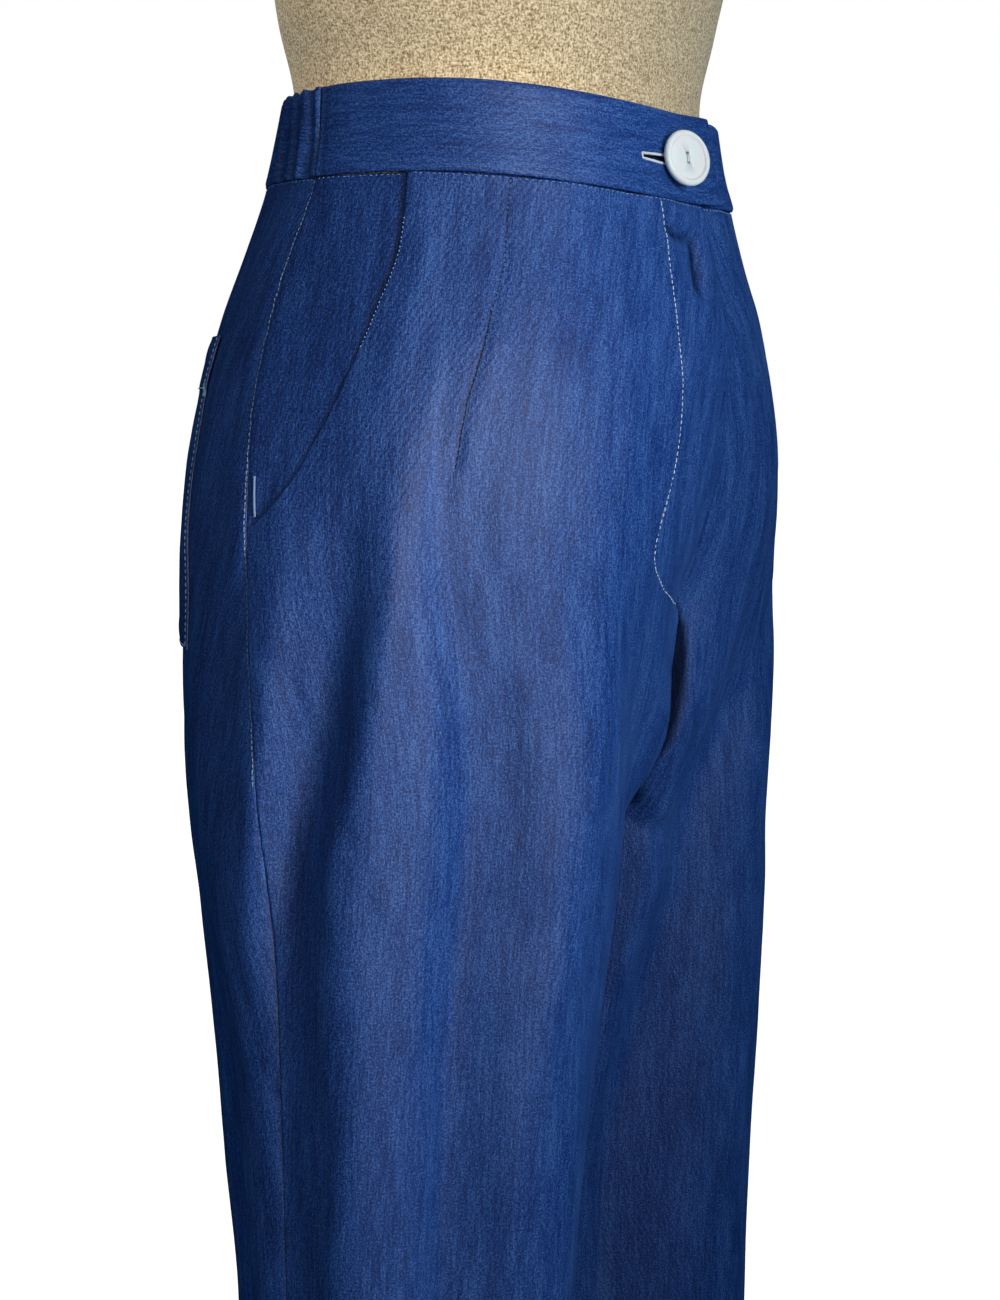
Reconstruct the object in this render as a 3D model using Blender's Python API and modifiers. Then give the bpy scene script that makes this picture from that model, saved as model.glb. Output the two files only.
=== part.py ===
"""Wide leg jeans on a limbless dress form, modelled piece by piece as they are cut and sewn.

Metres, +Z up. The origin is on the floor, under the middle of the form. The wearer faces -Y and the
wearer's right is -X. A place on the cloth is a side (-1 right, +1 left), a turn (0 at the centre front
or inseam, 1 at the centre back or inseam again) and a row, the height of that thread line at the side.
Every panel, pocket and band is read from that one surface, so pieces meet 0.3 mm apart at the seams.
"""

import math

import bmesh
import bpy
import numpy as np
from mathutils import Matrix, Vector

# ---------------------------------------------------------------- driving sizes
GAP = 0.0003               # between pieces that are sewn together or lie on each other
CLOTH = 0.0015             # wall of the denim panels
POCKET_CLOTH = 0.0012      # wall of the pocket pieces
BAND_CLOTH = 0.0030        # waistband, doubled and stiffened
BAND_PROUD = 0.0008        # the band stands this far out from the panels
RIGHT, LEFT = -1, 1

WAIST_SEAM = 1.083         # row of the waist seam
BAND_HEIGHT = 0.043
BAND_TOP = WAIST_SEAM + BAND_HEIGHT
FORK_ROW = 0.745           # row that runs through the fork, where the four inseams meet
FORK_Z = 0.783
INSEAM_Y = 0.006
HEM = 0.040
FRONT_DIP = 0.0105         # the waist sits this much lower at the centre front

FLY_LAP = 0.004            # right front over left front
FLY_END = 0.878            # row where the fly is sewn shut
FLY_LEVEL = 0.840          # row where the left front has come up level with the right one
FLY_SINK_NEAR, FLY_SINK_FAR = 0.008, 0.026     # the left front comes up between these, from the centre
CREASE_COLUMN = 0.006      # a narrow first column that keeps the lapped edge crisp
BAND_OVERLAP = 0.019       # right band past the centre front
BAND_UNDERLAP = 0.032      # left band past the centre front, underneath
OVERLAP_LIFT = 0.0035      # the free end of the right band stands off the left one
OVERLAP_LIFT_FROM = 0.016  # it starts to lift this far before the centre front

BACK_POCKET_TOP = 1.009
BACK_POCKET_HEM = 0.983
BACK_POCKET_BOTTOM = 0.857
BACK_POCKET_FROM_SIDE = (0.052, 0.062)     # at its top and at its bottom
BACK_POCKET_WIDTH = 0.112
BACK_POCKET_HEM_EXTRA = 0.0006             # the doubled hem along its top is this much thicker
SLANT_POCKET_BOTTOM = 0.920

GATHERS = 26               # waves of the elasticated back band
GATHER_DEPTH = 0.0011

BUTTON_RADIUS = 0.0135
BUTTON_BACK = 0.0119       # radius of its flat back
BUTTON_THICK = 0.0040
BUTTON_RIM, BUTTON_WELL = 0.0032, 0.0011       # width of the raised rim and how far the middle is below it
BUTTON_HOLE, BUTTON_HOLE_APART = 0.0010, 0.0040
BUTTON_FROM_FRONT = 0.021  # its middle, on the wearer's right of the centre front
BUTTON_HEIGHT = 0.0185      # its middle above the waist seam
BUTTON_TILT = 22           # degrees; the pull of the buttonhole turns its face to the wearer's right
BUTTONHOLE_LENGTH = 0.026
BUTTONHOLE_WIDTH = 0.0042
BUTTONHOLE_FAR_WIDTH = 0.0012

BASE_RADIUS = 0.195
BASE_THICK = 0.009
POLE_RADIUS = 0.016
POLE_X = 0.100             # the pole runs down inside the left leg
COLLAR_HEIGHT = 0.030
COLLAR_WALL = 0.008
COLLAR_FLANGE = 0.018

# ---------------------------------------------------------------- sections of the cloth
# the hips as one oval: row, half width, depth to the front, depth to the back
HIPS = np.array([
    (1.126, 0.1135, 0.1050, 0.1010),
    (1.083, 0.1205, 0.1130, 0.1125),
    (1.056, 0.1300, 0.1185, 0.1210),
    (1.020, 0.1450, 0.1265, 0.1325),
    (0.980, 0.1605, 0.1315, 0.1415),
    (0.940, 0.1710, 0.1345, 0.1465),
    (0.900, 0.1770, 0.1360, 0.1480),
    (0.850, 0.1800, 0.1350, 0.1460),
    (0.800, 0.1810, 0.1280, 0.1400),
    (0.700, 0.1810, 0.1150, 0.1300),
])
# one leg as an oval: row, outer x, inner x, depth to the front, depth to the back
LEG = np.array([
    (0.950, 0.1790, 0.0000, 0.1220, 0.1320),
    (0.830, 0.1820, 0.0000, 0.1180, 0.1240),
    (0.745, 0.1870, 0.0000, 0.1080, 0.1130),
    (0.700, 0.1890, 0.0080, 0.1050, 0.1050),
    (0.600, 0.1910, 0.0200, 0.0980, 0.0910),
    (0.500, 0.1920, 0.0240, 0.0930, 0.0810),
    (0.300, 0.1970, 0.0240, 0.0910, 0.0780),
    (0.040, 0.2050, 0.0200, 0.0950, 0.0820),
])
# the centre seams down to the fork: row, front y, front z, back y, back z
CENTRE_SEAMS = np.array([
    (1.126, -0.1050, 1.1260, 0.1010, 1.126),
    (1.083, -0.1130, 1.0830, 0.1125, 1.083),
    (1.056, -0.1180, 1.0560, 0.1205, 1.056),
    (1.000, -0.1280, 1.0000, 0.1355, 1.000),
    (0.960, -0.1270, 0.9600, 0.1400, 0.961),
    (0.914, -0.1180, 0.9150, 0.1390, 0.918),
    (0.871, -0.1010, 0.8730, 0.1300, 0.880),
    (0.830, -0.0920, 0.8360, 0.1130, 0.842),
    (0.800, -0.0830, 0.8110, 0.0920, 0.813),
    (0.775, -0.0660, 0.7930, 0.0650, 0.795),
    (0.755, -0.0350, 0.7845, 0.0360, 0.786),
    (FORK_ROW, INSEAM_Y, FORK_Z, INSEAM_Y, FORK_Z),
])
# turn of the side seam and of the slant pocket's edge: row, turn
SIDE_SEAM = np.array([
    (1.126, 0.603), (1.083, 0.583), (1.040, 0.593), (0.980, 0.583), (0.930, 0.566),
    (0.880, 0.545), (0.800, 0.525), (0.700, 0.518), (0.040, 0.510),
])
POCKET_EDGE = np.array([
    (1.083, 0.461), (1.050, 0.456), (1.018, 0.469), (0.987, 0.486), (0.952, 0.508),
    (0.932, 0.531), (SLANT_POCKET_BOTTOM, 0.556),
])
# broad hanging folds: side, first row, row where it is full, turn there, turn at the hem, height, half width
FOLDS = [
    (RIGHT, 0.930, 0.830, 0.387, 0.392, -0.0055, 0.045),
    (RIGHT, 0.900, 0.780, 0.320, 0.325, 0.0030, 0.045),
    (RIGHT, 0.900, 0.780, 0.432, 0.415, 0.0030, 0.040),
    (RIGHT, 0.880, 0.740, 0.488, 0.466, -0.0055, 0.045),
    (RIGHT, 0.800, 0.640, 0.110, 0.100, -0.0060, 0.060),
    (RIGHT, 0.860, 0.700, 0.640, 0.625, -0.0070, 0.055),
    (RIGHT, 0.860, 0.700, 0.720, 0.735, 0.0040, 0.050),
    (RIGHT, 0.840, 0.680, 0.820, 0.835, -0.0070, 0.060),
    (LEFT, 0.920, 0.800, 0.375, 0.380, -0.0055, 0.050),
    (LEFT, 0.900, 0.760, 0.200, 0.175, 0.0045, 0.050),
    (LEFT, 0.850, 0.730, 0.125, 0.085, -0.0070, 0.050),
    (LEFT, 0.880, 0.740, 0.475, 0.460, -0.0050, 0.045),
    (LEFT, 0.860, 0.700, 0.620, 0.640, -0.0065, 0.055),
    (LEFT, 0.850, 0.700, 0.735, 0.720, 0.0040, 0.050),
    (LEFT, 0.840, 0.680, 0.840, 0.820, -0.0070, 0.060),
]
FRONT_SQUARE, BACK_SQUARE, LEG_SQUARE = 2.45, 2.25, 2.15   # 2 is an ellipse, more is squarer
CENTRE_REACH = 0.17        # turns over which a centre seam pulls the cloth

# dress form: height, half width, depth to the front, depth to the back
TORSO = np.array([
    (1.5550, 0.0520, 0.0520, 0.0560),
    (1.5250, 0.0530, 0.0530, 0.0570),
    (1.5000, 0.0620, 0.0570, 0.0640),
    (1.4850, 0.0880, 0.0640, 0.0740),
    (1.4650, 0.1260, 0.0740, 0.0850),
    (1.4350, 0.1540, 0.0860, 0.0950),
    (1.3950, 0.1620, 0.0990, 0.1020),
    (1.3400, 0.1590, 0.1140, 0.1050),
    (1.2800, 0.1510, 0.1190, 0.1060),
    (1.2200, 0.1370, 0.1110, 0.1030),
    (1.1650, 0.1230, 0.1000, 0.1010),
    (1.1250, 0.1092, 0.0950, 0.0972),
    (1.0830, 0.1160, 0.1030, 0.1085),
    (1.0560, 0.1235, 0.1090, 0.1145),
    (1.0200, 0.1370, 0.1160, 0.1240),
    (0.9800, 0.1510, 0.1190, 0.1310),
    (0.9400, 0.1600, 0.1150, 0.1320),
    (0.9100, 0.1630, 0.1050, 0.1260),
    (0.8860, 0.1600, 0.0960, 0.1170),
    (0.8750, 0.1500, 0.0860, 0.1070),
])

# ---------------------------------------------------------------- materials
INDIGO = (0.060, 0.105, 0.270)
COLOURS = {                # name: colour, roughness, metallic
    "denim": (INDIGO, 0.75, 0.0),
    "button": ((0.86, 0.87, 0.88), 0.25, 0.0),
    "linen": ((0.66, 0.57, 0.44), 0.95, 0.0),
    "wood": ((0.42, 0.27, 0.15), 0.45, 0.0),
    "steel": ((0.09, 0.09, 0.10), 0.45, 0.6),
}

# ---------------------------------------------------------------- mesh fineness
ROWS_ABOVE_FORK = [WAIST_SEAM, 1.060, 1.034, BACK_POCKET_TOP, BACK_POCKET_HEM, 0.952,
                   SLANT_POCKET_BOTTOM, SLANT_POCKET_BOTTOM - 0.008, FLY_END, BACK_POCKET_BOTTOM,
                   0.832, 0.808, 0.787, 0.769, 0.755, FORK_ROW]
ROWS_BELOW_FORK = [0.730, 0.705, 0.670, 0.620, 0.550, 0.450, 0.330, 0.190, HEM]
PANEL_ROWS = np.array(ROWS_ABOVE_FORK + ROWS_BELOW_FORK)
FRONT_COLUMNS = 18
BACK_COLUMNS = (4, 6, 6)   # side seam to pocket, across the pocket, pocket to centre back
UNDER_POCKET_EDGE = 0.045  # share of the front's width over which the pocket facing runs under it
TORSO_COLUMNS = 36
TRACE_STEPS = 400


# ---------------------------------------------------------------- the cloth's surface
def smooth(x):
    """0 below 0, 1 above 1, and an even S between."""
    x = np.clip(x, 0.0, 1.0)
    return x * x * (3.0 - 2.0 * x)


def read(table, height, column):
    """A table's column at a height, on a smooth curve through its rows with no overshoot."""
    heights, values = table[::-1, 0], table[::-1, column]
    steps = np.diff(heights)
    slopes = np.diff(values) / steps
    tangents = np.concatenate(([slopes[0]], np.zeros(len(slopes) - 1), [slopes[-1]]))
    for i in range(1, len(slopes)):
        if slopes[i - 1] * slopes[i] > 0:
            tangents[i] = 2 * slopes[i - 1] * slopes[i] / (slopes[i - 1] + slopes[i])
    height = np.clip(height, heights[0], heights[-1])
    i = np.clip(np.searchsorted(heights, height, side="right") - 1, 0, len(steps) - 1)
    s = (height - heights[i]) / steps[i]
    return ((1 + 2 * s) * (1 - s) ** 2 * values[i] + s * (1 - s) ** 2 * steps[i] * tangents[i]
            + s * s * (3 - 2 * s) * values[i + 1] + s * s * (s - 1) * steps[i] * tangents[i + 1])


def oval(angle, half_width, front, back, front_square, back_square):
    """A point of a squared oval; the angle runs from -90 degrees at the front to 90 at the back."""
    ahead = angle < 0
    power = np.where(ahead, 2 / front_square, 2 / back_square)
    cosine, sine = np.cos(angle), np.sin(angle)
    x = half_width * np.sign(cosine) * np.abs(cosine) ** power
    y = np.where(ahead, -front, back) * np.abs(sine) ** power
    return x, y


def hips_into_leg(turn, row):
    """The hips' half oval, melting into the leg's whole oval as the rows near the fork."""
    hip_x, hip_y = oval(math.pi * (turn - 0.5), *(read(HIPS, row, k) for k in (1, 2, 3)),
                        FRONT_SQUARE, BACK_SQUARE)
    outer, inner, front, back = (read(LEG, row, k) for k in (1, 2, 3, 4))
    leg_x, leg_y = oval(2 * math.pi * (turn - 0.5), (outer - inner) / 2, front + INSEAM_Y, back - INSEAM_Y,
                        LEG_SQUARE, LEG_SQUARE)
    melt = smooth((0.960 - row) / (0.960 - FORK_ROW))
    x = hip_x * (1 - melt) + (leg_x + (outer + inner) / 2) * melt
    y = hip_y * (1 - melt) + (leg_y + INSEAM_Y) * melt
    return x, y


def smooth_surface(turn, row):
    """The left side's cloth before its folds hang in: x, y and z."""
    x, y = hips_into_leg(turn, row)
    z = row
    below = row < FORK_ROW
    inseam_lift = (FORK_Z - FORK_ROW) * smooth((row - 0.45) / (FORK_ROW - 0.45))
    for centre, column in ((0.0, 1), (1.0, 3)):
        near = 1 - smooth(np.abs(turn - centre) / CENTRE_REACH)
        centre_x, centre_y = hips_into_leg(np.full_like(row, centre), row)
        seam_y = np.where(below, centre_y, read(CENTRE_SEAMS, row, column))
        seam_z = np.where(below, row + inseam_lift, read(CENTRE_SEAMS, row, column + 1))
        x = x - near * np.where(below, 0, centre_x)
        y = y + near * (seam_y - centre_y)
        z = z + near * (seam_z - row)
    z = z - FRONT_DIP * (1 - smooth(turn / 0.55)) * smooth((row - 0.96) / (WAIST_SEAM - 0.96))
    return np.stack([x, y, z], -1)


def fold_height(side, turn, row):
    height = np.zeros_like(turn)
    for fold_side, first, full, turn_top, turn_hem, rise, half_width in FOLDS:
        if fold_side != side:
            continue
        down = np.clip((full - row) / (full - HEM), 0, 1)
        across = (turn - turn_top - (turn_hem - turn_top) * down) / half_width
        height = height + rise * smooth((first - row) / (first - full)) * np.exp(-across ** 2)
    return height * smooth(turn / 0.05) * smooth((1 - turn) / 0.05)


def folded(side, turn, row):
    """The left or right cloth with its folds, both drawn on the +X side."""
    step = 1e-4
    points = smooth_surface(turn, row)
    ahead = smooth_surface(np.clip(turn + step, 0, 1), row) - smooth_surface(np.clip(turn - step, 0, 1), row)
    out = np.stack([ahead[..., 1], -ahead[..., 0], np.zeros_like(turn)], -1)
    out = out / np.linalg.norm(out, axis=-1, keepdims=True)
    return points + out * fold_height(side, turn, row)[..., None]


def cloth(side, turn, row, out=0.0):
    """Points of the cloth's outer face, moved out along its normal; a turn below 0 crosses the centre."""
    turn, row, out = np.broadcast_arrays(*(np.asarray(value, float) for value in (turn, row, out)))
    across = turn < 0
    turn = np.abs(turn)
    step = 2e-4
    points, along, down = (np.empty(turn.shape + (3,)) for _ in range(3))
    for is_across in (False, True):
        pick = across == is_across
        if not pick.any():
            continue
        half = -side if is_across else side
        t, r = turn[pick], row[pick]
        points[pick] = folded(half, t, r)
        along[pick] = folded(half, np.clip(t + step, 0, 1), r) - folded(half, np.clip(t - step, 0, 1), r)
        down[pick] = folded(half, t, r - step) - folded(half, t, r + step)
    normal = np.cross(down, along)
    normal /= np.linalg.norm(normal, axis=-1, keepdims=True)
    moved = points + normal * out[..., None]
    moved[..., 0] += GAP / 2
    moved[..., 0] *= np.where(across, -side, side)
    return moved


def lengths(side, row):
    """Distance from the centre front, or the inseam, to each of many turns along a row."""
    turns = np.linspace(0, 1, TRACE_STEPS + 1)
    points = cloth(side, turns, row)
    steps = np.linalg.norm(np.diff(points, axis=0), axis=1)
    return turns, np.concatenate(([0], np.cumsum(steps)))


def turn_at(side, row, distance):
    turns, along = lengths(side, row)
    return np.sign(distance) * np.interp(np.abs(distance), along, turns)


def distance_at(side, row, turn):
    turns, along = lengths(side, row)
    return float(np.interp(turn, turns, along))


# ---------------------------------------------------------------- making solids
def collection(name):
    made = bpy.data.collections.new(name)
    bpy.context.scene.collection.children.link(made)
    return made


def material(name):
    if name in bpy.data.materials:
        return bpy.data.materials[name]
    colour, roughness, metallic = COLOURS[name]
    made = bpy.data.materials.new(name)
    made.use_nodes = True
    shader = made.node_tree.nodes["Principled BSDF"]
    shader.inputs["Base Color"].default_value = (*colour, 1)
    shader.inputs["Roughness"].default_value = roughness
    shader.inputs["Metallic"].default_value = metallic
    return made


def add(name, mesh, slot, smooth_angle=40):
    """A new object in the part's collection."""
    made = bpy.data.objects.new(name, mesh)
    PARTS.objects.link(made)
    mesh.materials.append(material(slot))
    mesh.shade_smooth()
    mesh.set_sharp_from_angle(angle=math.radians(smooth_angle))
    return made


def wall(name, outer, inner, slot="denim"):
    """A closed wall lofted between two grids of points, rows first, with a rim all round."""
    rows, columns = outer.shape[:2]
    points = np.concatenate([outer.reshape(-1, 3), inner.reshape(-1, 3)])
    size = rows * columns

    def at(row, column, layer):
        return layer * size + row * columns + column

    faces = []
    for r in range(rows - 1):
        for c in range(columns - 1):
            corners = [(r, c), (r, c + 1), (r + 1, c + 1), (r + 1, c)]
            for triangle in (corners[:3], corners[2:] + corners[:1]):   # one diagonal for all layers
                faces.append([at(*corner, 0) for corner in triangle])
                faces.append([at(*corner, 1) for corner in reversed(triangle)])
    rim = [(0, c) for c in range(columns)] + [(r, columns - 1) for r in range(1, rows)]
    rim += [(rows - 1, c) for c in range(columns - 2, -1, -1)] + [(r, 0) for r in range(rows - 2, 0, -1)]
    for first, second in zip(rim, rim[1:] + rim[:1]):
        faces.append([at(*first, 1), at(*second, 1), at(*second, 0), at(*first, 0)])
    mesh = bpy.data.meshes.new(name)
    mesh.from_pydata([tuple(point) for point in points], [], faces)
    build = bmesh.new()
    build.from_mesh(mesh)
    bmesh.ops.recalc_face_normals(build, faces=build.faces)
    build.to_mesh(mesh)
    build.free()
    return add(name, mesh, slot)


def sewn_wall(name, side, turns, rows, thick, out=0.0, slot="denim"):
    """A wall of cloth from a grid of turns, a row of them for each of the rows."""
    rows = np.broadcast_to(np.asarray(rows)[:, None], turns.shape)
    return wall(name, cloth(side, turns, rows, out), cloth(side, turns, rows, np.asarray(out) - thick), slot)


# ---------------------------------------------------------------- panels and pockets
def pocket_edge(side, row):
    """Distance from the centre front to the front panel's outer edge, the pocket's mouth or the side seam."""
    seam = distance_at(side, row, read(SIDE_SEAM, row, 1)) - GAP / 2
    if row < SLANT_POCKET_BOTTOM:
        return seam
    return min(seam, distance_at(side, row, read(POCKET_EDGE, row, 1)))


def front_shares():
    """Shares of the front's width at its columns; the last one is the strip over the pocket facing."""
    return np.append(np.linspace(0, 1 - UNDER_POCKET_EDGE, FRONT_COLUMNS), 1)


def front_distances(side, row):
    end = pocket_edge(side, row)
    return GAP / 2 + front_shares() * (end - GAP / 2)


def fly_step(row, distances):
    """How far the left front sinks under the right one at the fly."""
    sink = CLOTH + 2 * GAP
    across = 1 - smooth((distances - FLY_SINK_NEAR) / (FLY_SINK_FAR - FLY_SINK_NEAR))
    return -sink * smooth((row - FLY_LEVEL) / (FLY_END - FLY_LEVEL)) * across


def front_panel(side, name):
    grid, out = [], []
    for row in PANEL_ROWS:
        lapped = side == RIGHT and row > FLY_END
        edge = -FLY_LAP if lapped else GAP / 2
        distances = np.concatenate(([edge, CREASE_COLUMN], front_distances(side, row)[1:]))
        grid.append(turn_at(side, row, distances))
        out.append(fly_step(row, distances) if side == LEFT else np.zeros_like(distances))
    return sewn_wall(name, side, np.array(grid), PANEL_ROWS, CLOTH, np.array(out))


def pocket_facing(side, name):
    """The piece that shows in the slant pocket, from under the front's edge to the side seam."""
    rows = PANEL_ROWS[PANEL_ROWS >= SLANT_POCKET_BOTTOM]
    grid, sink = [], CLOTH + GAP
    for row in rows:
        under, edge = front_distances(side, row)[-2:]
        seam = distance_at(side, row, read(SIDE_SEAM, row, 1)) - GAP / 2
        grid.append(turn_at(side, row, np.array([under, edge, (edge + seam) / 2, seam])))
    return sewn_wall(name, side, np.array(grid), rows, POCKET_CLOTH, np.array([-sink, -sink, -sink / 2, 0]))


def back_distances(side, row):
    """Columns of the back panel: to the pocket's near edge, across the pocket, and on to the centre back."""
    turns, along = lengths(side, row)
    start = float(np.interp(read(SIDE_SEAM, row, 1), turns, along)) + GAP / 2
    width = along[-1] - GAP / 2 - start
    level = float(np.clip(row, BACK_POCKET_BOTTOM, BACK_POCKET_TOP))
    level_turns, level_along = lengths(side, level)
    level_width = level_along[-1] - np.interp(read(SIDE_SEAM, level, 1), level_turns, level_along)
    lower = (BACK_POCKET_TOP - level) / (BACK_POCKET_TOP - BACK_POCKET_BOTTOM)
    near = np.interp(lower, (0, 1), BACK_POCKET_FROM_SIDE) / level_width
    far = near + BACK_POCKET_WIDTH / level_width
    shares = np.concatenate([np.linspace(a, b, n + 1)[:-1]
                             for a, b, n in zip((0, near, far), (near, far, 1), BACK_COLUMNS)] + [[1]])
    return start + shares * width


def back_panel(side, name):
    grid = np.array([turn_at(side, row, back_distances(side, row)) for row in PANEL_ROWS])
    return sewn_wall(name, side, grid, PANEL_ROWS, CLOTH)


def back_pocket(side, name):
    """A patch pocket on the back panel, its points moved out, with a doubled hem along the top."""
    rows = PANEL_ROWS[(PANEL_ROWS <= BACK_POCKET_TOP) & (PANEL_ROWS >= BACK_POCKET_BOTTOM)]
    first = BACK_COLUMNS[0]
    grid = np.array([turn_at(side, row, back_distances(side, row)[first:first + BACK_COLUMNS[1] + 1])
                     for row in rows])
    thick = POCKET_CLOTH + np.where(rows >= BACK_POCKET_HEM, BACK_POCKET_HEM_EXTRA, 0.0)[:, None]
    return sewn_wall(name, side, grid, rows, thick, GAP + thick)


# ---------------------------------------------------------------- waistband
def band_rows():
    return np.linspace(BAND_TOP, WAIST_SEAM + GAP, 3)


def front_band(side, name):
    """A flat half of the band, from the side seam past the centre front."""
    grid, out = [], []
    clear, level = BAND_OVERLAP + 0.003, BAND_OVERLAP + 0.018    # the left half comes up between these
    for row in band_rows():
        seam = distance_at(side, row, read(SIDE_SEAM, row, 1)) - GAP / 2
        if side == RIGHT:
            past = [-BAND_OVERLAP, -BAND_OVERLAP / 2, -0.002, 0.002, 0.010]
            distances = np.concatenate([past, np.linspace(BAND_OVERLAP, seam, 12)])
            out.append(right_band_out(distances))
        else:
            past = [-BAND_UNDERLAP, -BAND_UNDERLAP / 2, 0.0, 0.010, clear]
            distances = np.concatenate([past, np.linspace(level, seam, 12)])
            sink = BAND_CLOTH + 2 * GAP
            out.append(BAND_PROUD - sink * (1 - smooth((distances - clear) / (level - clear))))
        grid.append(turn_at(side, row, distances))
    return sewn_wall(name, side, np.array(grid), band_rows(), BAND_CLOTH, np.array(out))


def back_band(name):
    """The elasticated half of the band, gathered in waves from side seam to side seam."""
    steps = GATHERS * 6
    outer, inner = [], []
    for row in band_rows():
        turns, along = lengths(RIGHT, row)
        seam = float(np.interp(read(SIDE_SEAM, row, 1), turns, along)) + GAP / 2
        half = along[-1] - seam
        share = np.linspace(-1, 1, steps + 1)
        share = share[np.abs(share) > 1e-6]
        turn = np.interp(along[-1] - np.abs(share) * half, along, turns)
        wave = GATHER_DEPTH * np.cos(math.pi * GATHERS * share + 2.4 * np.sin(3.1 * share))
        wave = wave * smooth((1 - np.abs(share)) / 0.04)
        points = [np.empty((len(share), 3)) for _ in range(2)]
        for side in (RIGHT, LEFT):
            pick = share < 0 if side == RIGHT else share > 0
            for layer, depth in enumerate((0.0, BAND_CLOTH)):
                points[layer][pick] = cloth(side, turn[pick], row, BAND_PROUD + wave[pick] - depth)
        outer.append(points[0])
        inner.append(points[1])
    return wall(name, np.array(outer), np.array(inner))


def right_band_out(distance):
    """How far the right half of the band stands out; its free end lifts off the left half."""
    lifted = smooth((OVERLAP_LIFT_FROM - distance) / (OVERLAP_LIFT_FROM + BAND_OVERLAP))
    return BAND_PROUD + OVERLAP_LIFT * lifted


def band_frame(distance, height):
    """A frame on the right band's face: axes across, up and out, and the place."""
    row = WAIST_SEAM + height

    def spot(away, up):
        turn = turn_at(RIGHT, row, distance + away)
        return Vector(cloth(RIGHT, turn, row + up, right_band_out(distance + away)))

    here, above, beside = spot(0, 0), spot(0, 0.010), spot(-0.004, 0)
    up = (above - here).normalized()
    across = (beside - here).normalized()
    out = across.cross(up).normalized()
    across = up.cross(out)
    return Matrix((across, up, out)).transposed().to_4x4(), here


def cut(target, cutter):
    """Cuts one object with another, which stays in the scene as a guide."""
    cutter.hide_render = True
    cutter.display_type = "WIRE"
    boolean = target.modifiers.new("cut", "BOOLEAN")
    boolean.operation = "DIFFERENCE"
    boolean.object = cutter


def cutter_from(name, build):
    mesh = bpy.data.meshes.new(name)
    build.to_mesh(mesh)
    build.free()
    made = bpy.data.objects.new(name, mesh)
    CUTTERS.objects.link(made)
    return made


def buttonhole(band):
    """A slot that is round and wide under the button and narrows to its far end."""
    frame, place = band_frame(BUTTON_FROM_FRONT, BUTTON_HEIGHT)
    build = bmesh.new()
    eye, far = BUTTONHOLE_WIDTH / 2, BUTTONHOLE_FAR_WIDTH / 2
    arc = [math.radians(a) for a in range(-80, 81, 32)]
    outline = [(eye * math.cos(a), eye * math.sin(a)) for a in arc]
    outline += [(-BUTTONHOLE_LENGTH, far), (-BUTTONHOLE_LENGTH, -far)]
    depth = 4 * BAND_CLOTH
    lower = [build.verts.new((x, y, -depth)) for x, y in outline]
    upper = [build.verts.new((x, y, depth)) for x, y in outline]
    build.faces.new(lower[::-1])
    build.faces.new(upper)
    for i in range(len(outline)):
        j = (i + 1) % len(outline)
        build.faces.new((lower[i], lower[j], upper[j], upper[i]))
    slot = cutter_from("buttonhole_cutter", build)
    slot.matrix_world = Matrix.Translation(place) @ frame
    cut(band, slot)


def turned(name, profile, slot, steps):
    """A turned solid from a profile of (radius, height), listed from the bottom of the axis to the top."""
    build = bmesh.new()
    verts = [build.verts.new((radius, 0, height)) for radius, height in reversed(profile)]
    for first, second in zip(verts, verts[1:]):
        build.edges.new((first, second))
    mesh = bpy.data.meshes.new(name)
    build.to_mesh(mesh)
    build.free()
    made = bpy.data.objects.new(name, mesh)
    PARTS.objects.link(made)
    screw = made.modifiers.new("turn", "SCREW")
    screw.steps = screw.render_steps = steps
    screw.use_merge_vertices = True
    screw.merge_threshold = 1e-5
    mesh.materials.append(material(slot))
    return made


def button():
    """A two-hole button with a raised rim round a flat middle, one edge of its back just off the band."""
    inside = BUTTON_RADIUS - BUTTON_RIM
    profile = [(0, 0), (BUTTON_BACK, 0), (BUTTON_RADIUS, 0.0014), (BUTTON_RADIUS, BUTTON_THICK - 0.0010),
               (BUTTON_RADIUS - 0.0010, BUTTON_THICK), (inside + 0.0006, BUTTON_THICK),
               (inside, BUTTON_THICK - BUTTON_WELL), (0, BUTTON_THICK - BUTTON_WELL)]
    made = turned("button", profile, "button", 28)
    build = bmesh.new()
    for up in (-1, 1):
        shift = Matrix.Translation((0, up * BUTTON_HOLE_APART / 2, BUTTON_THICK / 2))
        bmesh.ops.create_cone(build, cap_ends=True, segments=10, radius1=BUTTON_HOLE, radius2=BUTTON_HOLE,
                              depth=2 * BUTTON_THICK, matrix=shift)
    holes = cutter_from("button_hole_cutter", build)
    cut(made, holes)
    frame, place = band_frame(BUTTON_FROM_FRONT, BUTTON_HEIGHT)
    tilt = math.radians(BUTTON_TILT)
    stand_off = BUTTON_BACK * math.sin(tilt) + GAP
    seat = Matrix.Translation(place) @ frame @ Matrix.Translation((0, 0, stand_off))
    seat = seat @ Matrix.Rotation(-tilt, 4, "Y")
    made.matrix_world = seat
    holes.matrix_world = seat
    return made


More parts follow.
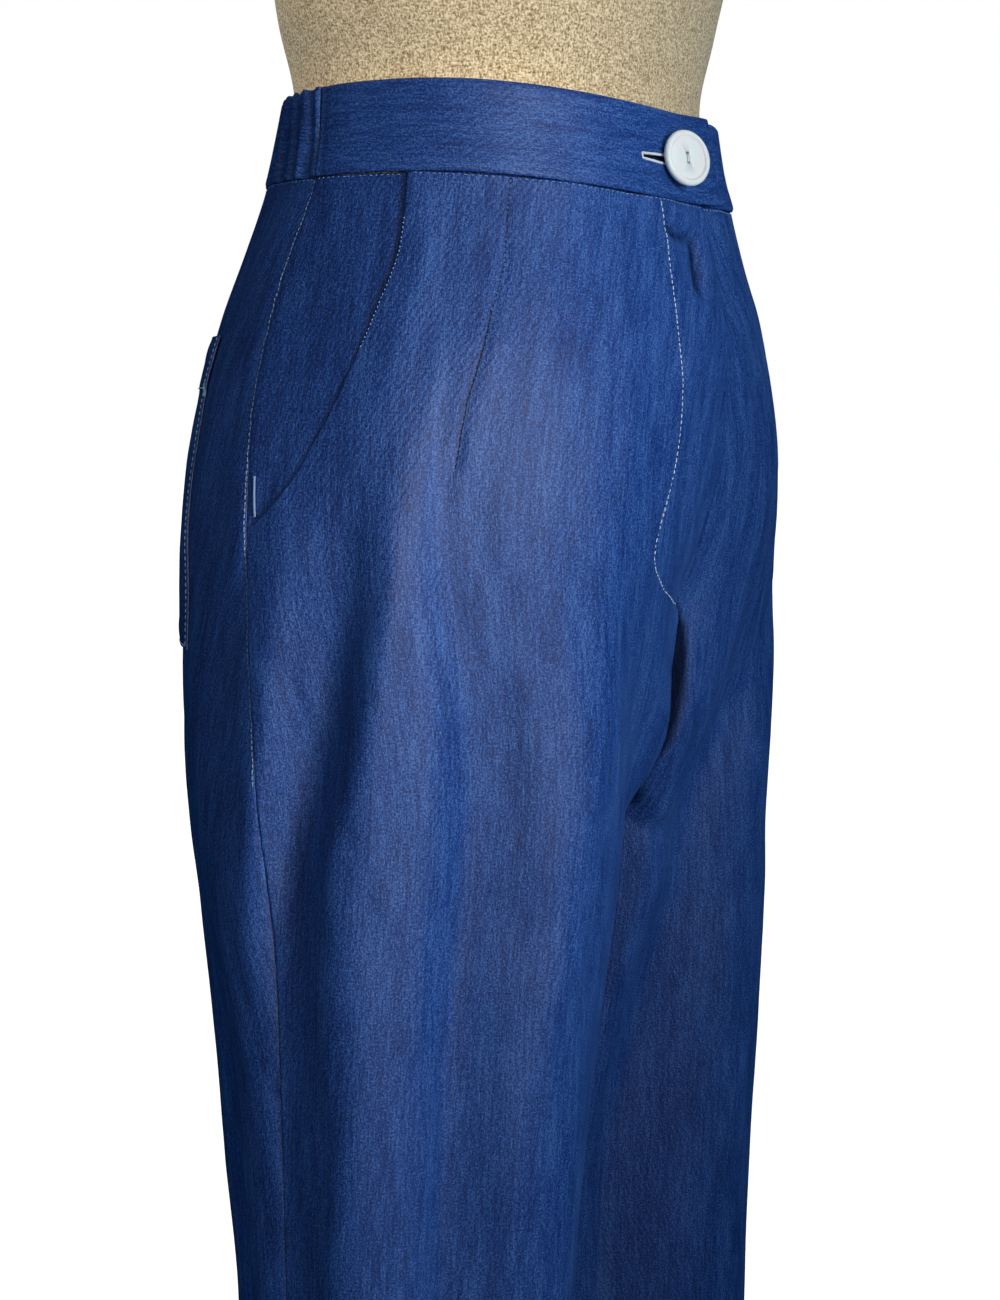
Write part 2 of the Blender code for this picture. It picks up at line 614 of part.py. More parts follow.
# ---------------------------------------------------------------- dress form
def torso():
    angles = np.linspace(-math.pi, math.pi, TORSO_COLUMNS, endpoint=False)
    build = bmesh.new()
    rings = []
    for height, half, front, back in TORSO:
        x, y = oval(angles, half, front, back, FRONT_SQUARE, BACK_SQUARE)
        rings.append([build.verts.new((float(a), float(b), float(height))) for a, b in zip(x, y)])
    for above, below in zip(rings, rings[1:]):
        for i in range(len(above)):
            j = (i + 1) % len(above)
            build.faces.new((below[i], below[j], above[j], above[i]))
    build.faces.new(rings[0])
    build.faces.new(rings[-1][::-1])
    mesh = bpy.data.meshes.new("form_torso")
    build.to_mesh(mesh)
    build.free()
    return add("form_torso", mesh, "linen", 60)


def stand():
    bottom = TORSO[-1, 0]
    neck = TORSO[0, 0]
    floor = BASE_THICK + GAP
    cap = [(0, GAP), (0.046, GAP), (0.050, 0.004), (0.047, 0.012), (0.020, 0.020), (0.010, 0.026),
           (0.015, 0.034), (0.013, 0.044), (0, 0.048)]
    turned("form_neck_cap", [(radius, neck + height) for radius, height in cap], "wood", 28)
    pole = [(0, floor), (POLE_RADIUS, floor), (POLE_RADIUS, bottom - GAP), (0, bottom - GAP)]
    bore, neck_out, flange = POLE_RADIUS + GAP, POLE_RADIUS + COLLAR_WALL, POLE_RADIUS + COLLAR_FLANGE
    collar = [(bore, floor), (flange, floor), (flange, floor + 0.006), (neck_out, floor + 0.012),
              (neck_out, COLLAR_HEIGHT), (neck_out - 0.002, COLLAR_HEIGHT + 0.002),
              (bore, COLLAR_HEIGHT + 0.002), (bore, floor)]
    for name, profile in (("form_pole", pole), ("form_collar", collar)):
        turned(name, profile, "steel", 24).location.x = POLE_X
    base = [(0, 0), (BASE_RADIUS - 0.001, 0), (BASE_RADIUS, 0.001), (BASE_RADIUS, BASE_THICK - 0.003),
            (BASE_RADIUS - 0.003, BASE_THICK), (0, BASE_THICK)]
    turned("form_base", base, "steel", 48)


def build_part():
    for side, name in ((RIGHT, "right"), (LEFT, "left")):
        front_panel(side, f"front_{name}")
        back_panel(side, f"back_{name}")
        pocket_facing(side, f"pocket_facing_{name}")
        back_pocket(side, f"back_pocket_{name}")
        band = front_band(side, f"waistband_front_{name}")
        if side == RIGHT:
            buttonhole(band)
    back_band("waistband_back")
    button()
    torso()
    stand()


for old in list(bpy.data.objects):
    bpy.data.objects.remove(old)
PARTS = collection("wide_leg_jeans")
CUTTERS = collection("cutters")
build_part()
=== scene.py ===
"""Wide leg jeans on a limbless dress form: the looks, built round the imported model.

Metres, in the frame's own axes: +Z up, the wearer faces -Y and the wearer's right is -X. A place on the
cloth is a side, a row (the height of that thread line at the side) and a distance along the row from the
centre front or the inseam. The sizes and tables of the cut are the part's own, and the creases, puckers and
sewing are added to them here.
"""

import math

import bmesh
import bpy
import numpy as np
from mathutils import Matrix, Vector


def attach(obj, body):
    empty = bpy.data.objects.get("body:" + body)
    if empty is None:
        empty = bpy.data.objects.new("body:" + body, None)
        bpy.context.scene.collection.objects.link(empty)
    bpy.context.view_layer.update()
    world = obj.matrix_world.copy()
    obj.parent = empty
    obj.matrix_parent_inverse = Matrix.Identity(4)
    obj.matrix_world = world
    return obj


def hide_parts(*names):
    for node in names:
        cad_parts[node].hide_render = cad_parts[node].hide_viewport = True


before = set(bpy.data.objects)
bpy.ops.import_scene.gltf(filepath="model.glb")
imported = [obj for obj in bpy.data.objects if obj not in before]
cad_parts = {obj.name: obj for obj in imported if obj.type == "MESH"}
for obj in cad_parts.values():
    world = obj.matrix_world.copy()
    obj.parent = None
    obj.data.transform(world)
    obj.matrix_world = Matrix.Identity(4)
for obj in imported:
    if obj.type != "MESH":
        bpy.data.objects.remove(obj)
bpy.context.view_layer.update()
BODY = "root"

# ---------------------------------------------------------------- sizes of the cut, as in the part
GAP = 0.0003
CLOTH = 0.0015
POCKET_CLOTH = 0.0012
BAND_CLOTH = 0.0030
BAND_PROUD = 0.0008
RIGHT, LEFT = -1, 1
WAIST_SEAM = 1.083
BAND_HEIGHT = 0.043
BAND_TOP = WAIST_SEAM + BAND_HEIGHT
FORK_ROW, FORK_Z = 0.745, 0.783
INSEAM_Y = 0.006
HEM = 0.040
FRONT_DIP = 0.0105
FLY_LAP = 0.004
FLY_END, FLY_LEVEL = 0.878, 0.840
FLY_SINK_NEAR, FLY_SINK_FAR = 0.008, 0.026
BAND_OVERLAP, BAND_UNDERLAP = 0.019, 0.032
OVERLAP_LIFT, OVERLAP_LIFT_FROM = 0.0035, 0.016
BACK_POCKET_TOP, BACK_POCKET_HEM, BACK_POCKET_BOTTOM = 1.009, 0.983, 0.857
BACK_POCKET_FROM_SIDE = (0.052, 0.062)
BACK_POCKET_WIDTH = 0.112
SLANT_POCKET_BOTTOM = 0.920
GATHERS, GATHER_DEPTH = 26, 0.0011
BUTTON_RADIUS, BUTTON_BACK, BUTTON_THICK = 0.0135, 0.0119, 0.0040
BUTTON_RIM, BUTTON_WELL = 0.0032, 0.0011
BUTTON_HOLE, BUTTON_HOLE_APART = 0.0010, 0.0040
BUTTON_FROM_FRONT, BUTTON_HEIGHT, BUTTON_TILT = 0.021, 0.0185, 22
BUTTONHOLE_LENGTH, BUTTONHOLE_WIDTH, BUTTONHOLE_FAR_WIDTH = 0.026, 0.0042, 0.0012
BASE_RADIUS, BASE_THICK = 0.195, 0.009
POLE_RADIUS, POLE_X = 0.016, 0.100
COLLAR_HEIGHT, COLLAR_WALL, COLLAR_FLANGE = 0.030, 0.008, 0.018

# the hips as one oval: row, half width, depth to the front, depth to the back
HIPS = np.array([
    (1.126, 0.1135, 0.1050, 0.1010),
    (1.083, 0.1205, 0.1130, 0.1125),
    (1.056, 0.1300, 0.1185, 0.1210),
    (1.020, 0.1450, 0.1265, 0.1325),
    (0.980, 0.1605, 0.1315, 0.1415),
    (0.940, 0.1710, 0.1345, 0.1465),
    (0.900, 0.1770, 0.1360, 0.1480),
    (0.850, 0.1800, 0.1350, 0.1460),
    (0.800, 0.1810, 0.1280, 0.1400),
    (0.700, 0.1810, 0.1150, 0.1300),
])
# one leg as an oval: row, outer x, inner x, depth to the front, depth to the back
LEG = np.array([
    (0.950, 0.1790, 0.0000, 0.1220, 0.1320),
    (0.830, 0.1820, 0.0000, 0.1180, 0.1240),
    (0.745, 0.1870, 0.0000, 0.1080, 0.1130),
    (0.700, 0.1890, 0.0080, 0.1050, 0.1050),
    (0.600, 0.1910, 0.0200, 0.0980, 0.0910),
    (0.500, 0.1920, 0.0240, 0.0930, 0.0810),
    (0.300, 0.1970, 0.0240, 0.0910, 0.0780),
    (0.040, 0.2050, 0.0200, 0.0950, 0.0820),
])
# the centre seams down to the fork: row, front y, front z, back y, back z
CENTRE_SEAMS = np.array([
    (1.126, -0.1050, 1.1260, 0.1010, 1.126),
    (1.083, -0.1130, 1.0830, 0.1125, 1.083),
    (1.056, -0.1180, 1.0560, 0.1205, 1.056),
    (1.000, -0.1280, 1.0000, 0.1355, 1.000),
    (0.960, -0.1270, 0.9600, 0.1400, 0.961),
    (0.914, -0.1180, 0.9150, 0.1390, 0.918),
    (0.871, -0.1010, 0.8730, 0.1300, 0.880),
    (0.830, -0.0920, 0.8360, 0.1130, 0.842),
    (0.800, -0.0830, 0.8110, 0.0920, 0.813),
    (0.775, -0.0660, 0.7930, 0.0650, 0.795),
    (0.755, -0.0350, 0.7845, 0.0360, 0.786),
    (FORK_ROW, INSEAM_Y, FORK_Z, INSEAM_Y, FORK_Z),
])
# turn of the side seam and of the slant pocket's edge: row, turn
SIDE_SEAM = np.array([
    (1.126, 0.603), (1.083, 0.583), (1.040, 0.593), (0.980, 0.583), (0.930, 0.566),
    (0.880, 0.545), (0.800, 0.525), (0.700, 0.518), (0.040, 0.510),
])
POCKET_EDGE = np.array([
    (1.083, 0.461), (1.050, 0.456), (1.018, 0.469), (0.987, 0.486), (0.952, 0.508),
    (0.932, 0.531), (SLANT_POCKET_BOTTOM, 0.556),
])
# broad hanging folds: side, first row, row where it is full, turn there, turn at the hem, height, half width
FOLDS = [
    (RIGHT, 0.800, 0.640, 0.110, 0.100, -0.0060, 0.060),
    (RIGHT, 0.860, 0.700, 0.640, 0.625, -0.0070, 0.055),
    (RIGHT, 0.860, 0.700, 0.720, 0.735, 0.0040, 0.050),
    (RIGHT, 0.840, 0.680, 0.820, 0.835, -0.0070, 0.060),
    (LEFT, 0.860, 0.700, 0.620, 0.640, -0.0065, 0.055),
    (LEFT, 0.850, 0.700, 0.735, 0.720, 0.0040, 0.050),
    (LEFT, 0.840, 0.680, 0.840, 0.820, -0.0070, 0.060),
]
FRONT_SQUARE, BACK_SQUARE, LEG_SQUARE = 2.45, 2.25, 2.15
CENTRE_REACH = 0.17

# dress form: height, half width, depth to the front, depth to the back
TORSO = np.array([
    (1.5550, 0.0520, 0.0520, 0.0560),
    (1.5250, 0.0530, 0.0530, 0.0570),
    (1.5000, 0.0620, 0.0570, 0.0640),
    (1.4850, 0.0880, 0.0640, 0.0740),
    (1.4650, 0.1260, 0.0740, 0.0850),
    (1.4350, 0.1540, 0.0860, 0.0950),
    (1.3950, 0.1620, 0.0990, 0.1020),
    (1.3400, 0.1590, 0.1140, 0.1050),
    (1.2800, 0.1510, 0.1190, 0.1060),
    (1.2200, 0.1370, 0.1110, 0.1030),
    (1.1650, 0.1230, 0.1000, 0.1010),
    (1.1250, 0.1092, 0.0950, 0.0972),
    (1.0830, 0.1160, 0.1030, 0.1085),
    (1.0560, 0.1235, 0.1090, 0.1145),
    (1.0200, 0.1370, 0.1160, 0.1240),
    (0.9800, 0.1510, 0.1190, 0.1310),
    (0.9400, 0.1600, 0.1150, 0.1320),
    (0.9100, 0.1630, 0.1050, 0.1260),
    (0.8860, 0.1600, 0.0960, 0.1170),
    (0.8750, 0.1500, 0.0860, 0.1070),
])

# ---------------------------------------------------------------- sewing and creases
# sewn lines on the right front, as row and distance from the centre front
J_STITCH = np.array([
    (1.0815, 0.0395), (1.062, 0.0393), (1.036, 0.0430), (1.010, 0.0455), (0.988, 0.0450), (0.968, 0.0474),
    (0.946, 0.0526), (0.922, 0.0602), (0.910, 0.0648), (0.903, 0.0640), (0.897, 0.0595), (0.886, 0.0455),
    (0.880, 0.0300), (0.876, 0.0180), (0.874, 0.0050),
])
DART = np.array([
    (1.083, 0.1210), (1.058, 0.1296), (1.042, 0.1354), (1.020, 0.1480), (0.996, 0.1589), (0.978, 0.1672),
    (0.960, 0.1727), (0.947, 0.1760),
])
FACING_UNDER = 0.012       # the pocket facing runs on this far under the front's edge
POCKET_STITCH_IN = 0.0018
HEM_DEPTH = 0.022
SEAM_PUCKER, SEAM_PUCKER_REACH = 0.00012, 0.006
SEAM_ROLL = 0.0016         # a seamed edge rolls in over this width
HEM_STEP = 0.0003          # how much the doubled hem stands out
CREASE_FADE = 0.3          # share of a crease's length over which each end fades
DART_DEPTH, DART_TIP_DEEPER = 0.0003, 0.0014
DART_WIDTH, DART_TIP_WIDER = 0.0014, 0.0010
DART_TIP_FROM, DART_END = 0.80, 0.012
DART_FULL, DART_FULL_AT, DART_FULL_WIDTH = 0.0003, 0.005, 0.004     # the fullness beside the dart
J_SINK, J_SINK_WIDTH = 0.0005, 0.0013      # the fly's stitching pulls the cloth in, and it is full beside it
J_FULL, J_FULL_AT, J_FULL_WIDTH = 0.0003, 0.004, 0.003
GROOVE_END, GROOVE_DEPTH = 0.760, 0.0085   # the centre seam below the fly
GROOVE_WIDTHS = {RIGHT: 0.0022, LEFT: 0.0016}
LIP_HEIGHT, LIP_AT, LIP_WIDTH = 0.0036, 0.0058, 0.0042
# stitches: length and gap
FLY_STITCH, DITCH_STITCH = (0.0028, 0.00025), (0.0016, 0.0015)
SIDE_STITCH, MOUTH_STITCH = (0.0026, 0.0003), (0.0011, 0.0013)
# the dart's navy stitches are painted shade: a dark line for its groove
DART_SHADE_STITCH, DART_TIP_SHADE_STITCH = (0.0010, 0.0016), (0.0030, 0.0001)
POCKET_STITCH, HEM_STITCH = (0.0024, 0.0008), (0.0026, 0.0008)
SIDE_STITCH_BOTTOM, MOUTH_STITCH_ROWS = 0.800, (1.062, 1.000)
DITCH = 0.0009             # the ditch stitching lies this far below the waist seam
SATIN_RADIUS = 0.00024
BUTTONHOLE_STITCH, SLANT_TACK_WIDTH, BAR_TACK_WIDTH = 0.0013, 0.0013, 0.0022
SLANT_TACK_ROWS, SLANT_TACK_IN = (0.943, 0.925), 0.0050
SHELL = 0.0011             # thickness of the drawn cloth
FRONT_GRAIN_TURN, BACK_GRAIN_TURN = 0.40, 0.78     # the grain line down the middle of each panel
# sets of soft waves over the cloth: how many, shortest, longest, lean, height
RIPPLES = [
    (9, 0.050, 0.120, 0.10, 0.00060),
    (14, 0.018, 0.045, 0.15, 0.00026),
    (10, 0.008, 0.018, 0.50, 0.00004),
]
# crests and valleys that hang from the hips and the fork, in order round each side: row, turn and height
DRAPES = {side: [np.array(line) for line in lines] for side, lines in {
    RIGHT: [
        [(0.946, 0.020, 0.0), (0.040, 0.020, 0.0)],
        [(0.946, 0.070, 0.0), (0.906, 0.080, 0.0), (0.840, 0.150, 0.0), (0.760, 0.195, 0.0), (0.040, 0.190, 0.0)],
        [(0.946, 0.140, 0.0), (0.906, 0.165, 0.0005), (0.840, 0.228, 0.0020), (0.812, 0.253, 0.0030),
         (0.760, 0.282, 0.0035), (0.696, 0.287, 0.0035), (0.626, 0.282, 0.0035), (0.558, 0.272, 0.0035),
         (0.300, 0.268, 0.0035), (0.040, 0.262, 0.0035)],
        [(1.005, 0.376, 0.0), (0.965, 0.373, -0.0040), (0.930, 0.369, -0.0080), (0.886, 0.366, -0.0125),
         (0.846, 0.367, -0.0150), (0.818, 0.369, -0.0165), (0.778, 0.374, -0.0175), (0.702, 0.377, -0.0175),
         (0.620, 0.376, -0.0165), (0.566, 0.371, -0.0160), (0.300, 0.364, -0.0140), (0.040, 0.358, -0.0130)],
        [(0.985, 0.395, 0.0), (0.910, 0.404, -0.0020), (0.846, 0.408, -0.0035), (0.766, 0.410, -0.0040),
         (0.702, 0.410, -0.0040), (0.570, 0.406, -0.0040), (0.040, 0.400, -0.0035)],
        [(0.985, 0.420, 0.0), (0.910, 0.423, 0.0010), (0.886, 0.428, 0.0020), (0.846, 0.441, 0.0030),
         (0.818, 0.449, 0.0035), (0.764, 0.463, 0.0035), (0.702, 0.458, 0.0035), (0.634, 0.452, 0.0035),
         (0.568, 0.453, 0.0035), (0.300, 0.446, 0.0030), (0.040, 0.442, 0.0030)],
        [(0.965, 0.466, 0.0), (0.908, 0.470, -0.0040), (0.884, 0.475, -0.0065), (0.844, 0.484, -0.0095),
         (0.814, 0.492, -0.0108), (0.760, 0.503, -0.0110), (0.694, 0.510, -0.0110), (0.624, 0.509, -0.0110),
         (0.556, 0.507, -0.0108), (0.300, 0.503, -0.0100), (0.040, 0.498, -0.0095)],
        [(0.945, 0.525, 0.0), (0.906, 0.520, 0.0010), (0.882, 0.522, 0.0020), (0.842, 0.524, 0.0025),
         (0.812, 0.526, 0.0020), (0.758, 0.536, -0.0005), (0.700, 0.548, -0.0050), (0.640, 0.550, -0.0085),
         (0.300, 0.550, -0.0085), (0.040, 0.546, -0.0080)],
        [(0.945, 0.575, 0.0), (0.760, 0.590, -0.0015), (0.700, 0.602, -0.0055), (0.640, 0.612, -0.0090),
         (0.040, 0.620, -0.0090)],
        [(0.800, 0.725, 0.0), (0.700, 0.725, 0.0), (0.040, 0.735, 0.0)],
        [(0.800, 0.770, 0.0), (0.700, 0.775, -0.0060), (0.300, 0.785, -0.0080), (0.040, 0.790, -0.0080)],
        [(0.800, 0.870, 0.0), (0.700, 0.880, 0.0), (0.040, 0.880, 0.0)],
    ],
    LEFT: [
        [(0.880, 0.010, 0.0), (0.040, 0.010, 0.0)],
        [(0.880, 0.120, 0.0), (0.840, 0.120, 0.0010), (0.816, 0.124, 0.0025), (0.786, 0.122, 0.0035),
         (0.716, 0.120, 0.0045), (0.680, 0.105, 0.0045), (0.644, 0.088, 0.0045), (0.594, 0.066, 0.0040),
         (0.550, 0.050, 0.0035), (0.474, 0.044, 0.0030), (0.040, 0.044, 0.0030)],
        [(0.880, 0.225, 0.0), (0.826, 0.206, -0.0070), (0.814, 0.198, -0.0095), (0.786, 0.182, -0.0130),
         (0.722, 0.164, -0.0155), (0.686, 0.146, -0.0160), (0.648, 0.128, -0.0160), (0.594, 0.107, -0.0155),
         (0.550, 0.091, -0.0145), (0.474, 0.084, -0.0130), (0.040, 0.082, -0.0120)],
        [(0.880, 0.285, 0.0), (0.814, 0.272, 0.0010), (0.780, 0.266, 0.0020), (0.712, 0.258, 0.0050),
         (0.628, 0.252, 0.0070), (0.534, 0.252, 0.0075), (0.450, 0.254, 0.0075), (0.040, 0.252, 0.0070)],
        [(0.960, 0.385, 0.0), (0.880, 0.385, -0.0070), (0.780, 0.380, -0.0110), (0.568, 0.376, -0.0120),
         (0.040, 0.370, -0.0110)],
        [(0.960, 0.432, 0.0), (0.880, 0.430, 0.0010), (0.700, 0.428, 0.0015), (0.040, 0.424, 0.0015)],
        [(0.920, 0.478, 0.0), (0.860, 0.482, -0.0060), (0.700, 0.484, -0.0090), (0.040, 0.474, -0.0085)],
        [(0.920, 0.535, 0.0), (0.860, 0.538, 0.0010), (0.700, 0.548, 0.0), (0.040, 0.545, 0.0)],
        [(0.880, 0.720, 0.0), (0.040, 0.715, 0.0)],
        [(0.800, 0.785, 0.0), (0.700, 0.785, -0.0060), (0.300, 0.775, -0.0080), (0.040, 0.770, -0.0080)],
        [(0.800, 0.880, 0.0), (0.040, 0.870, 0.0)],
    ],
}.items()}
# how far painted shade reaches from the centre front on the left leg, below the fly, and on down the inner thigh:
# the cloth is painted dark there, where the lamps leave no shade
FORK_PAINTED_SHADE_SOFT, FORK_PAINTED_SHADE_SHARE, THIGH_PAINTED_SHADE_WIDTH = 0.0060, 0.9, 0.0030
TIGHT_CREASE, CREASE_PAINTED_SHADE_SHARE = -0.003, 0.8         # creases deeper than this are painted dark inside, as shade
FORK_PAINTED_SHADE = np.array([(0.880, 0.0020), (0.872, 0.0080), (0.860, 0.0150), (0.846, 0.0180), (0.816, 0.0205),
                       (0.800, 0.0225), (0.784, 0.0250), (0.768, 0.0300)])
THIGH_PAINTED_SHADE = np.array([(0.7780, 0.0100), (0.7680, 0.0170), (0.7600, 0.0330), (0.7500, 0.0560),
                        (0.7360, 0.0810)])
# creases on both backs: half width, height, then row and distance from the centre back along it
BACK_CREASES = [
    (0.0110, -0.0022, [(0.812, 0.020), (0.822, 0.070), (0.838, 0.125)]),
    (0.0090, -0.0018, [(0.792, 0.030), (0.790, 0.085), (0.800, 0.140)]),
    (0.0120, 0.0016, [(0.803, 0.030), (0.806, 0.080), (0.820, 0.130)]),
    (0.0080, -0.0014, [(0.770, 0.020), (0.748, 0.070), (0.740, 0.110)]),
    (0.0090, -0.0012, [(0.520, 0.030), (0.500, 0.090), (0.508, 0.150)]),
    (0.0080, -0.0009, [(0.470, 0.060), (0.462, 0.110), (0.470, 0.160)]),
]
# creases on a front: side, half width, height, then row and distance from the centre front along it
CREASES = [
    (RIGHT, 0.0032, -0.0034, [(1.0725, 0.041), (1.0690, 0.036), (1.0655, 0.028), (1.0660, 0.012)]),
    (RIGHT, 0.0050, 0.0022, [(1.0790, 0.036), (1.0755, 0.024), (1.0730, 0.010)]),
    (RIGHT, 0.0040, -0.0032, [(1.0720, 0.0150), (1.0600, 0.0125), (1.0460, 0.0150), (1.0300, 0.0190)]),
    (RIGHT, 0.0060, 0.0016, [(1.0680, 0.0030), (1.050, 0.0030), (1.030, 0.0070)]),
    (RIGHT, 0.0060, 0.0007, [(1.0600, 0.0270), (1.045, 0.0270), (1.020, 0.0300)]),
]


# ---------------------------------------------------------------- the cloth's surface
def smooth(x):
    """0 below 0, 1 above 1, and an even S between."""
    x = np.clip(x, 0.0, 1.0)
    return x * x * (3.0 - 2.0 * x)


def curve(table, column, count=3000):
    """Many points of a smooth curve through a table's column, with no overshoot: heights and values."""
    heights, values = table[::-1, 0], table[::-1, column]
    steps = np.diff(heights)
    slopes = np.diff(values) / steps
    tangents = np.concatenate(([slopes[0]], np.zeros(len(slopes) - 1), [slopes[-1]]))
    for i in range(1, len(slopes)):
        if slopes[i - 1] * slopes[i] > 0:
            tangents[i] = 2 * slopes[i - 1] * slopes[i] / (slopes[i - 1] + slopes[i])
    height = np.linspace(heights[0], heights[-1], count)
    i = np.clip(np.searchsorted(heights, height, side="right") - 1, 0, len(steps) - 1)
    s = (height - heights[i]) / steps[i]
    return height, ((1 + 2 * s) * (1 - s) ** 2 * values[i] + s * (1 - s) ** 2 * steps[i] * tangents[i]
                    + s * s * (3 - 2 * s) * values[i + 1] + s * s * (s - 1) * steps[i] * tangents[i + 1])


CURVES = {}


def read(table, height, column):
    """A table's column at any height."""
    key = tuple(table[:, 0]), tuple(table[:, column])
    if key not in CURVES:
        CURVES[key] = curve(table, column)
    return np.interp(height, *CURVES[key])


def oval(angle, half_width, front, back, front_square, back_square):
    """A point of a squared oval; the angle runs from -90 degrees at the front to 90 at the back."""
    ahead = angle < 0
    power = np.where(ahead, 2 / front_square, 2 / back_square)
    cosine, sine = np.cos(angle), np.sin(angle)
    x = half_width * np.sign(cosine) * np.abs(cosine) ** power
    y = np.where(ahead, -front, back) * np.abs(sine) ** power
    return x, y


def hips_into_leg(turn, row):
    """The hips' half oval, melting into the leg's whole oval as the rows near the fork."""
    hip_x, hip_y = oval(math.pi * (turn - 0.5), *(read(HIPS, row, k) for k in (1, 2, 3)),
                        FRONT_SQUARE, BACK_SQUARE)
    outer, inner, front, back = (read(LEG, row, k) for k in (1, 2, 3, 4))
    leg_x, leg_y = oval(2 * math.pi * (turn - 0.5), (outer - inner) / 2, front + INSEAM_Y, back - INSEAM_Y,
                        LEG_SQUARE, LEG_SQUARE)
    melt = smooth((0.960 - row) / (0.960 - FORK_ROW))
    x = hip_x * (1 - melt) + (leg_x + (outer + inner) / 2) * melt
    y = hip_y * (1 - melt) + (leg_y + INSEAM_Y) * melt
    return x, y


def smooth_surface(turn, row):
    """The left side's cloth before its folds hang in: x, y and z."""
    x, y = hips_into_leg(turn, row)
    z = row
    below = row < FORK_ROW
    inseam_lift = (FORK_Z - FORK_ROW) * smooth((row - 0.45) / (FORK_ROW - 0.45))
    for centre, column in ((0.0, 1), (1.0, 3)):
        near = 1 - smooth(np.abs(turn - centre) / CENTRE_REACH)
        centre_x, centre_y = hips_into_leg(np.full_like(row, centre), row)
        seam_y = np.where(below, centre_y, read(CENTRE_SEAMS, row, column))
        seam_z = np.where(below, row + inseam_lift, read(CENTRE_SEAMS, row, column + 1))
        x = x - near * np.where(below, 0, centre_x)
        y = y + near * (seam_y - centre_y)
        z = z + near * (seam_z - row)
    z = z - FRONT_DIP * (1 - smooth(turn / 0.55)) * smooth((row - 0.96) / (WAIST_SEAM - 0.96))
    return np.stack([x, y, z], -1)


def draped(side, turn, row):
    """The hanging folds: a smooth curve round the leg through each crest and valley."""
    places = [read(line, row, 1) for line in DRAPES[side]]
    heights = [read(line, row, 2) for line in DRAPES[side]]
    steps = [after - place for place, after in zip(places, places[1:])]
    slopes = [(after - height) / step for height, after, step in zip(heights, heights[1:], steps)]
    tangents = [0.0]
    for slope, after in zip(slopes, slopes[1:]):
        product = np.maximum(slope * after, 0.0)
        tangents.append(np.sign(slope) * 2 * product / (np.abs(slope) + np.abs(after) + 1e-9))
    tangents.append(0.0)
    height = np.zeros(np.broadcast(turn, row).shape)
    for k, step in enumerate(steps):
        s = np.clip((turn - places[k]) / step, 0.0, 1.0)
        here = ((1 + 2 * s) * (1 - s) ** 2 * heights[k] + s * (1 - s) ** 2 * step * tangents[k]
                + s * s * (3 - 2 * s) * heights[k + 1] + s * s * (s - 1) * step * tangents[k + 1])
        height = np.where(turn >= places[k], here, height)
    return height


def fold_height(side, turn, row):
    height = np.zeros_like(turn)
    for fold_side, first, full, turn_top, turn_hem, rise, half_width in FOLDS:
        if fold_side != side:
            continue
        down = np.clip((full - row) / (full - HEM), 0, 1)
        across = (turn - turn_top - (turn_hem - turn_top) * down) / half_width
        height = height + rise * smooth((first - row) / (first - full)) * np.exp(-across ** 2)
    return height * smooth(turn / 0.05) * smooth((1 - turn) / 0.05) + draped(side, turn, row)


def folded(side, turn, row):
    """The left or right cloth with its folds, both drawn on the +X side."""
    step = 1e-4
    points = smooth_surface(turn, row)
    ahead = smooth_surface(np.clip(turn + step, 0, 1), row) - smooth_surface(np.clip(turn - step, 0, 1), row)
    out = np.stack([ahead[..., 1], -ahead[..., 0], np.zeros_like(ahead[..., 0])], -1)
    out = out / np.linalg.norm(out, axis=-1, keepdims=True)
    return points + out * fold_height(side, turn, row)[..., None]


def half_cloth(side, turn, row, out):
    """Points on the left or right half, moved out along the cloth's normal, drawn on the +X side."""
    step = 2e-4
    points = folded(side, turn, row)
    along = folded(side, np.clip(turn + step, 0, 1), row) - folded(side, np.clip(turn - step, 0, 1), row)
    down = folded(side, turn, row - step) - folded(side, turn, row + step)
    normal = np.cross(down, along)
    normal /= np.linalg.norm(normal, axis=-1, keepdims=True)
    moved = points + normal * np.asarray(out)[..., None]
    moved[..., 0] += GAP / 2
    return moved


def cloth(side, turn, row, out=0.0):
    """Points of the cloth's outer face, moved out along its normal; a turn below 0 crosses the centre."""
    turn, row, out = (np.asarray(value, float) for value in (turn, row, out))
    moved = half_cloth(side, np.abs(turn), row, out) * (side, 1, 1)
    if (turn < 0).any():
        over = half_cloth(-side, np.abs(turn), row, out) * (-side, 1, 1)
        moved = np.where((turn < 0)[..., None], over, moved)
    return moved


# ---------------------------------------------------------------- distances along the rows
TRACE_ROWS = np.linspace(HEM, BAND_TOP, 440)
TRACE_TURNS = np.linspace(0, 1, 401)


def traced(side):
    """Distance from the centre front or inseam at each of the traced rows and turns."""
    points = cloth(side, TRACE_TURNS[None, :], TRACE_ROWS[:, None])
    steps = np.linalg.norm(np.diff(points, axis=1), axis=-1)
    return np.concatenate([np.zeros((len(TRACE_ROWS), 1)), np.cumsum(steps, axis=1)], axis=1)


TRACED = {side: traced(side) for side in (RIGHT, LEFT)}


def between_rows(side, row):
    """The distances at every traced turn on one row."""
    place = np.clip((row - HEM) / (BAND_TOP - HEM), 0, 1) * (len(TRACE_ROWS) - 1)
    low = min(int(place), len(TRACE_ROWS) - 2)
    share = place - low
    return TRACED[side][low] * (1 - share) + TRACED[side][low + 1] * share


def turn_at(side, row, distance):
    """Turns at distances along one row; a distance below 0 crosses the centre front."""
    return np.sign(distance) * np.interp(np.abs(distance), between_rows(side, row), TRACE_TURNS)


def distance_at(side, row, turn):
    return np.interp(turn, TRACE_TURNS, between_rows(side, row))


def per_traced_row(function):
    """A function of side and row, worked out once on every traced row."""
    return {side: np.array([function(side, row) for row in TRACE_ROWS]) for side in (RIGHT, LEFT)}


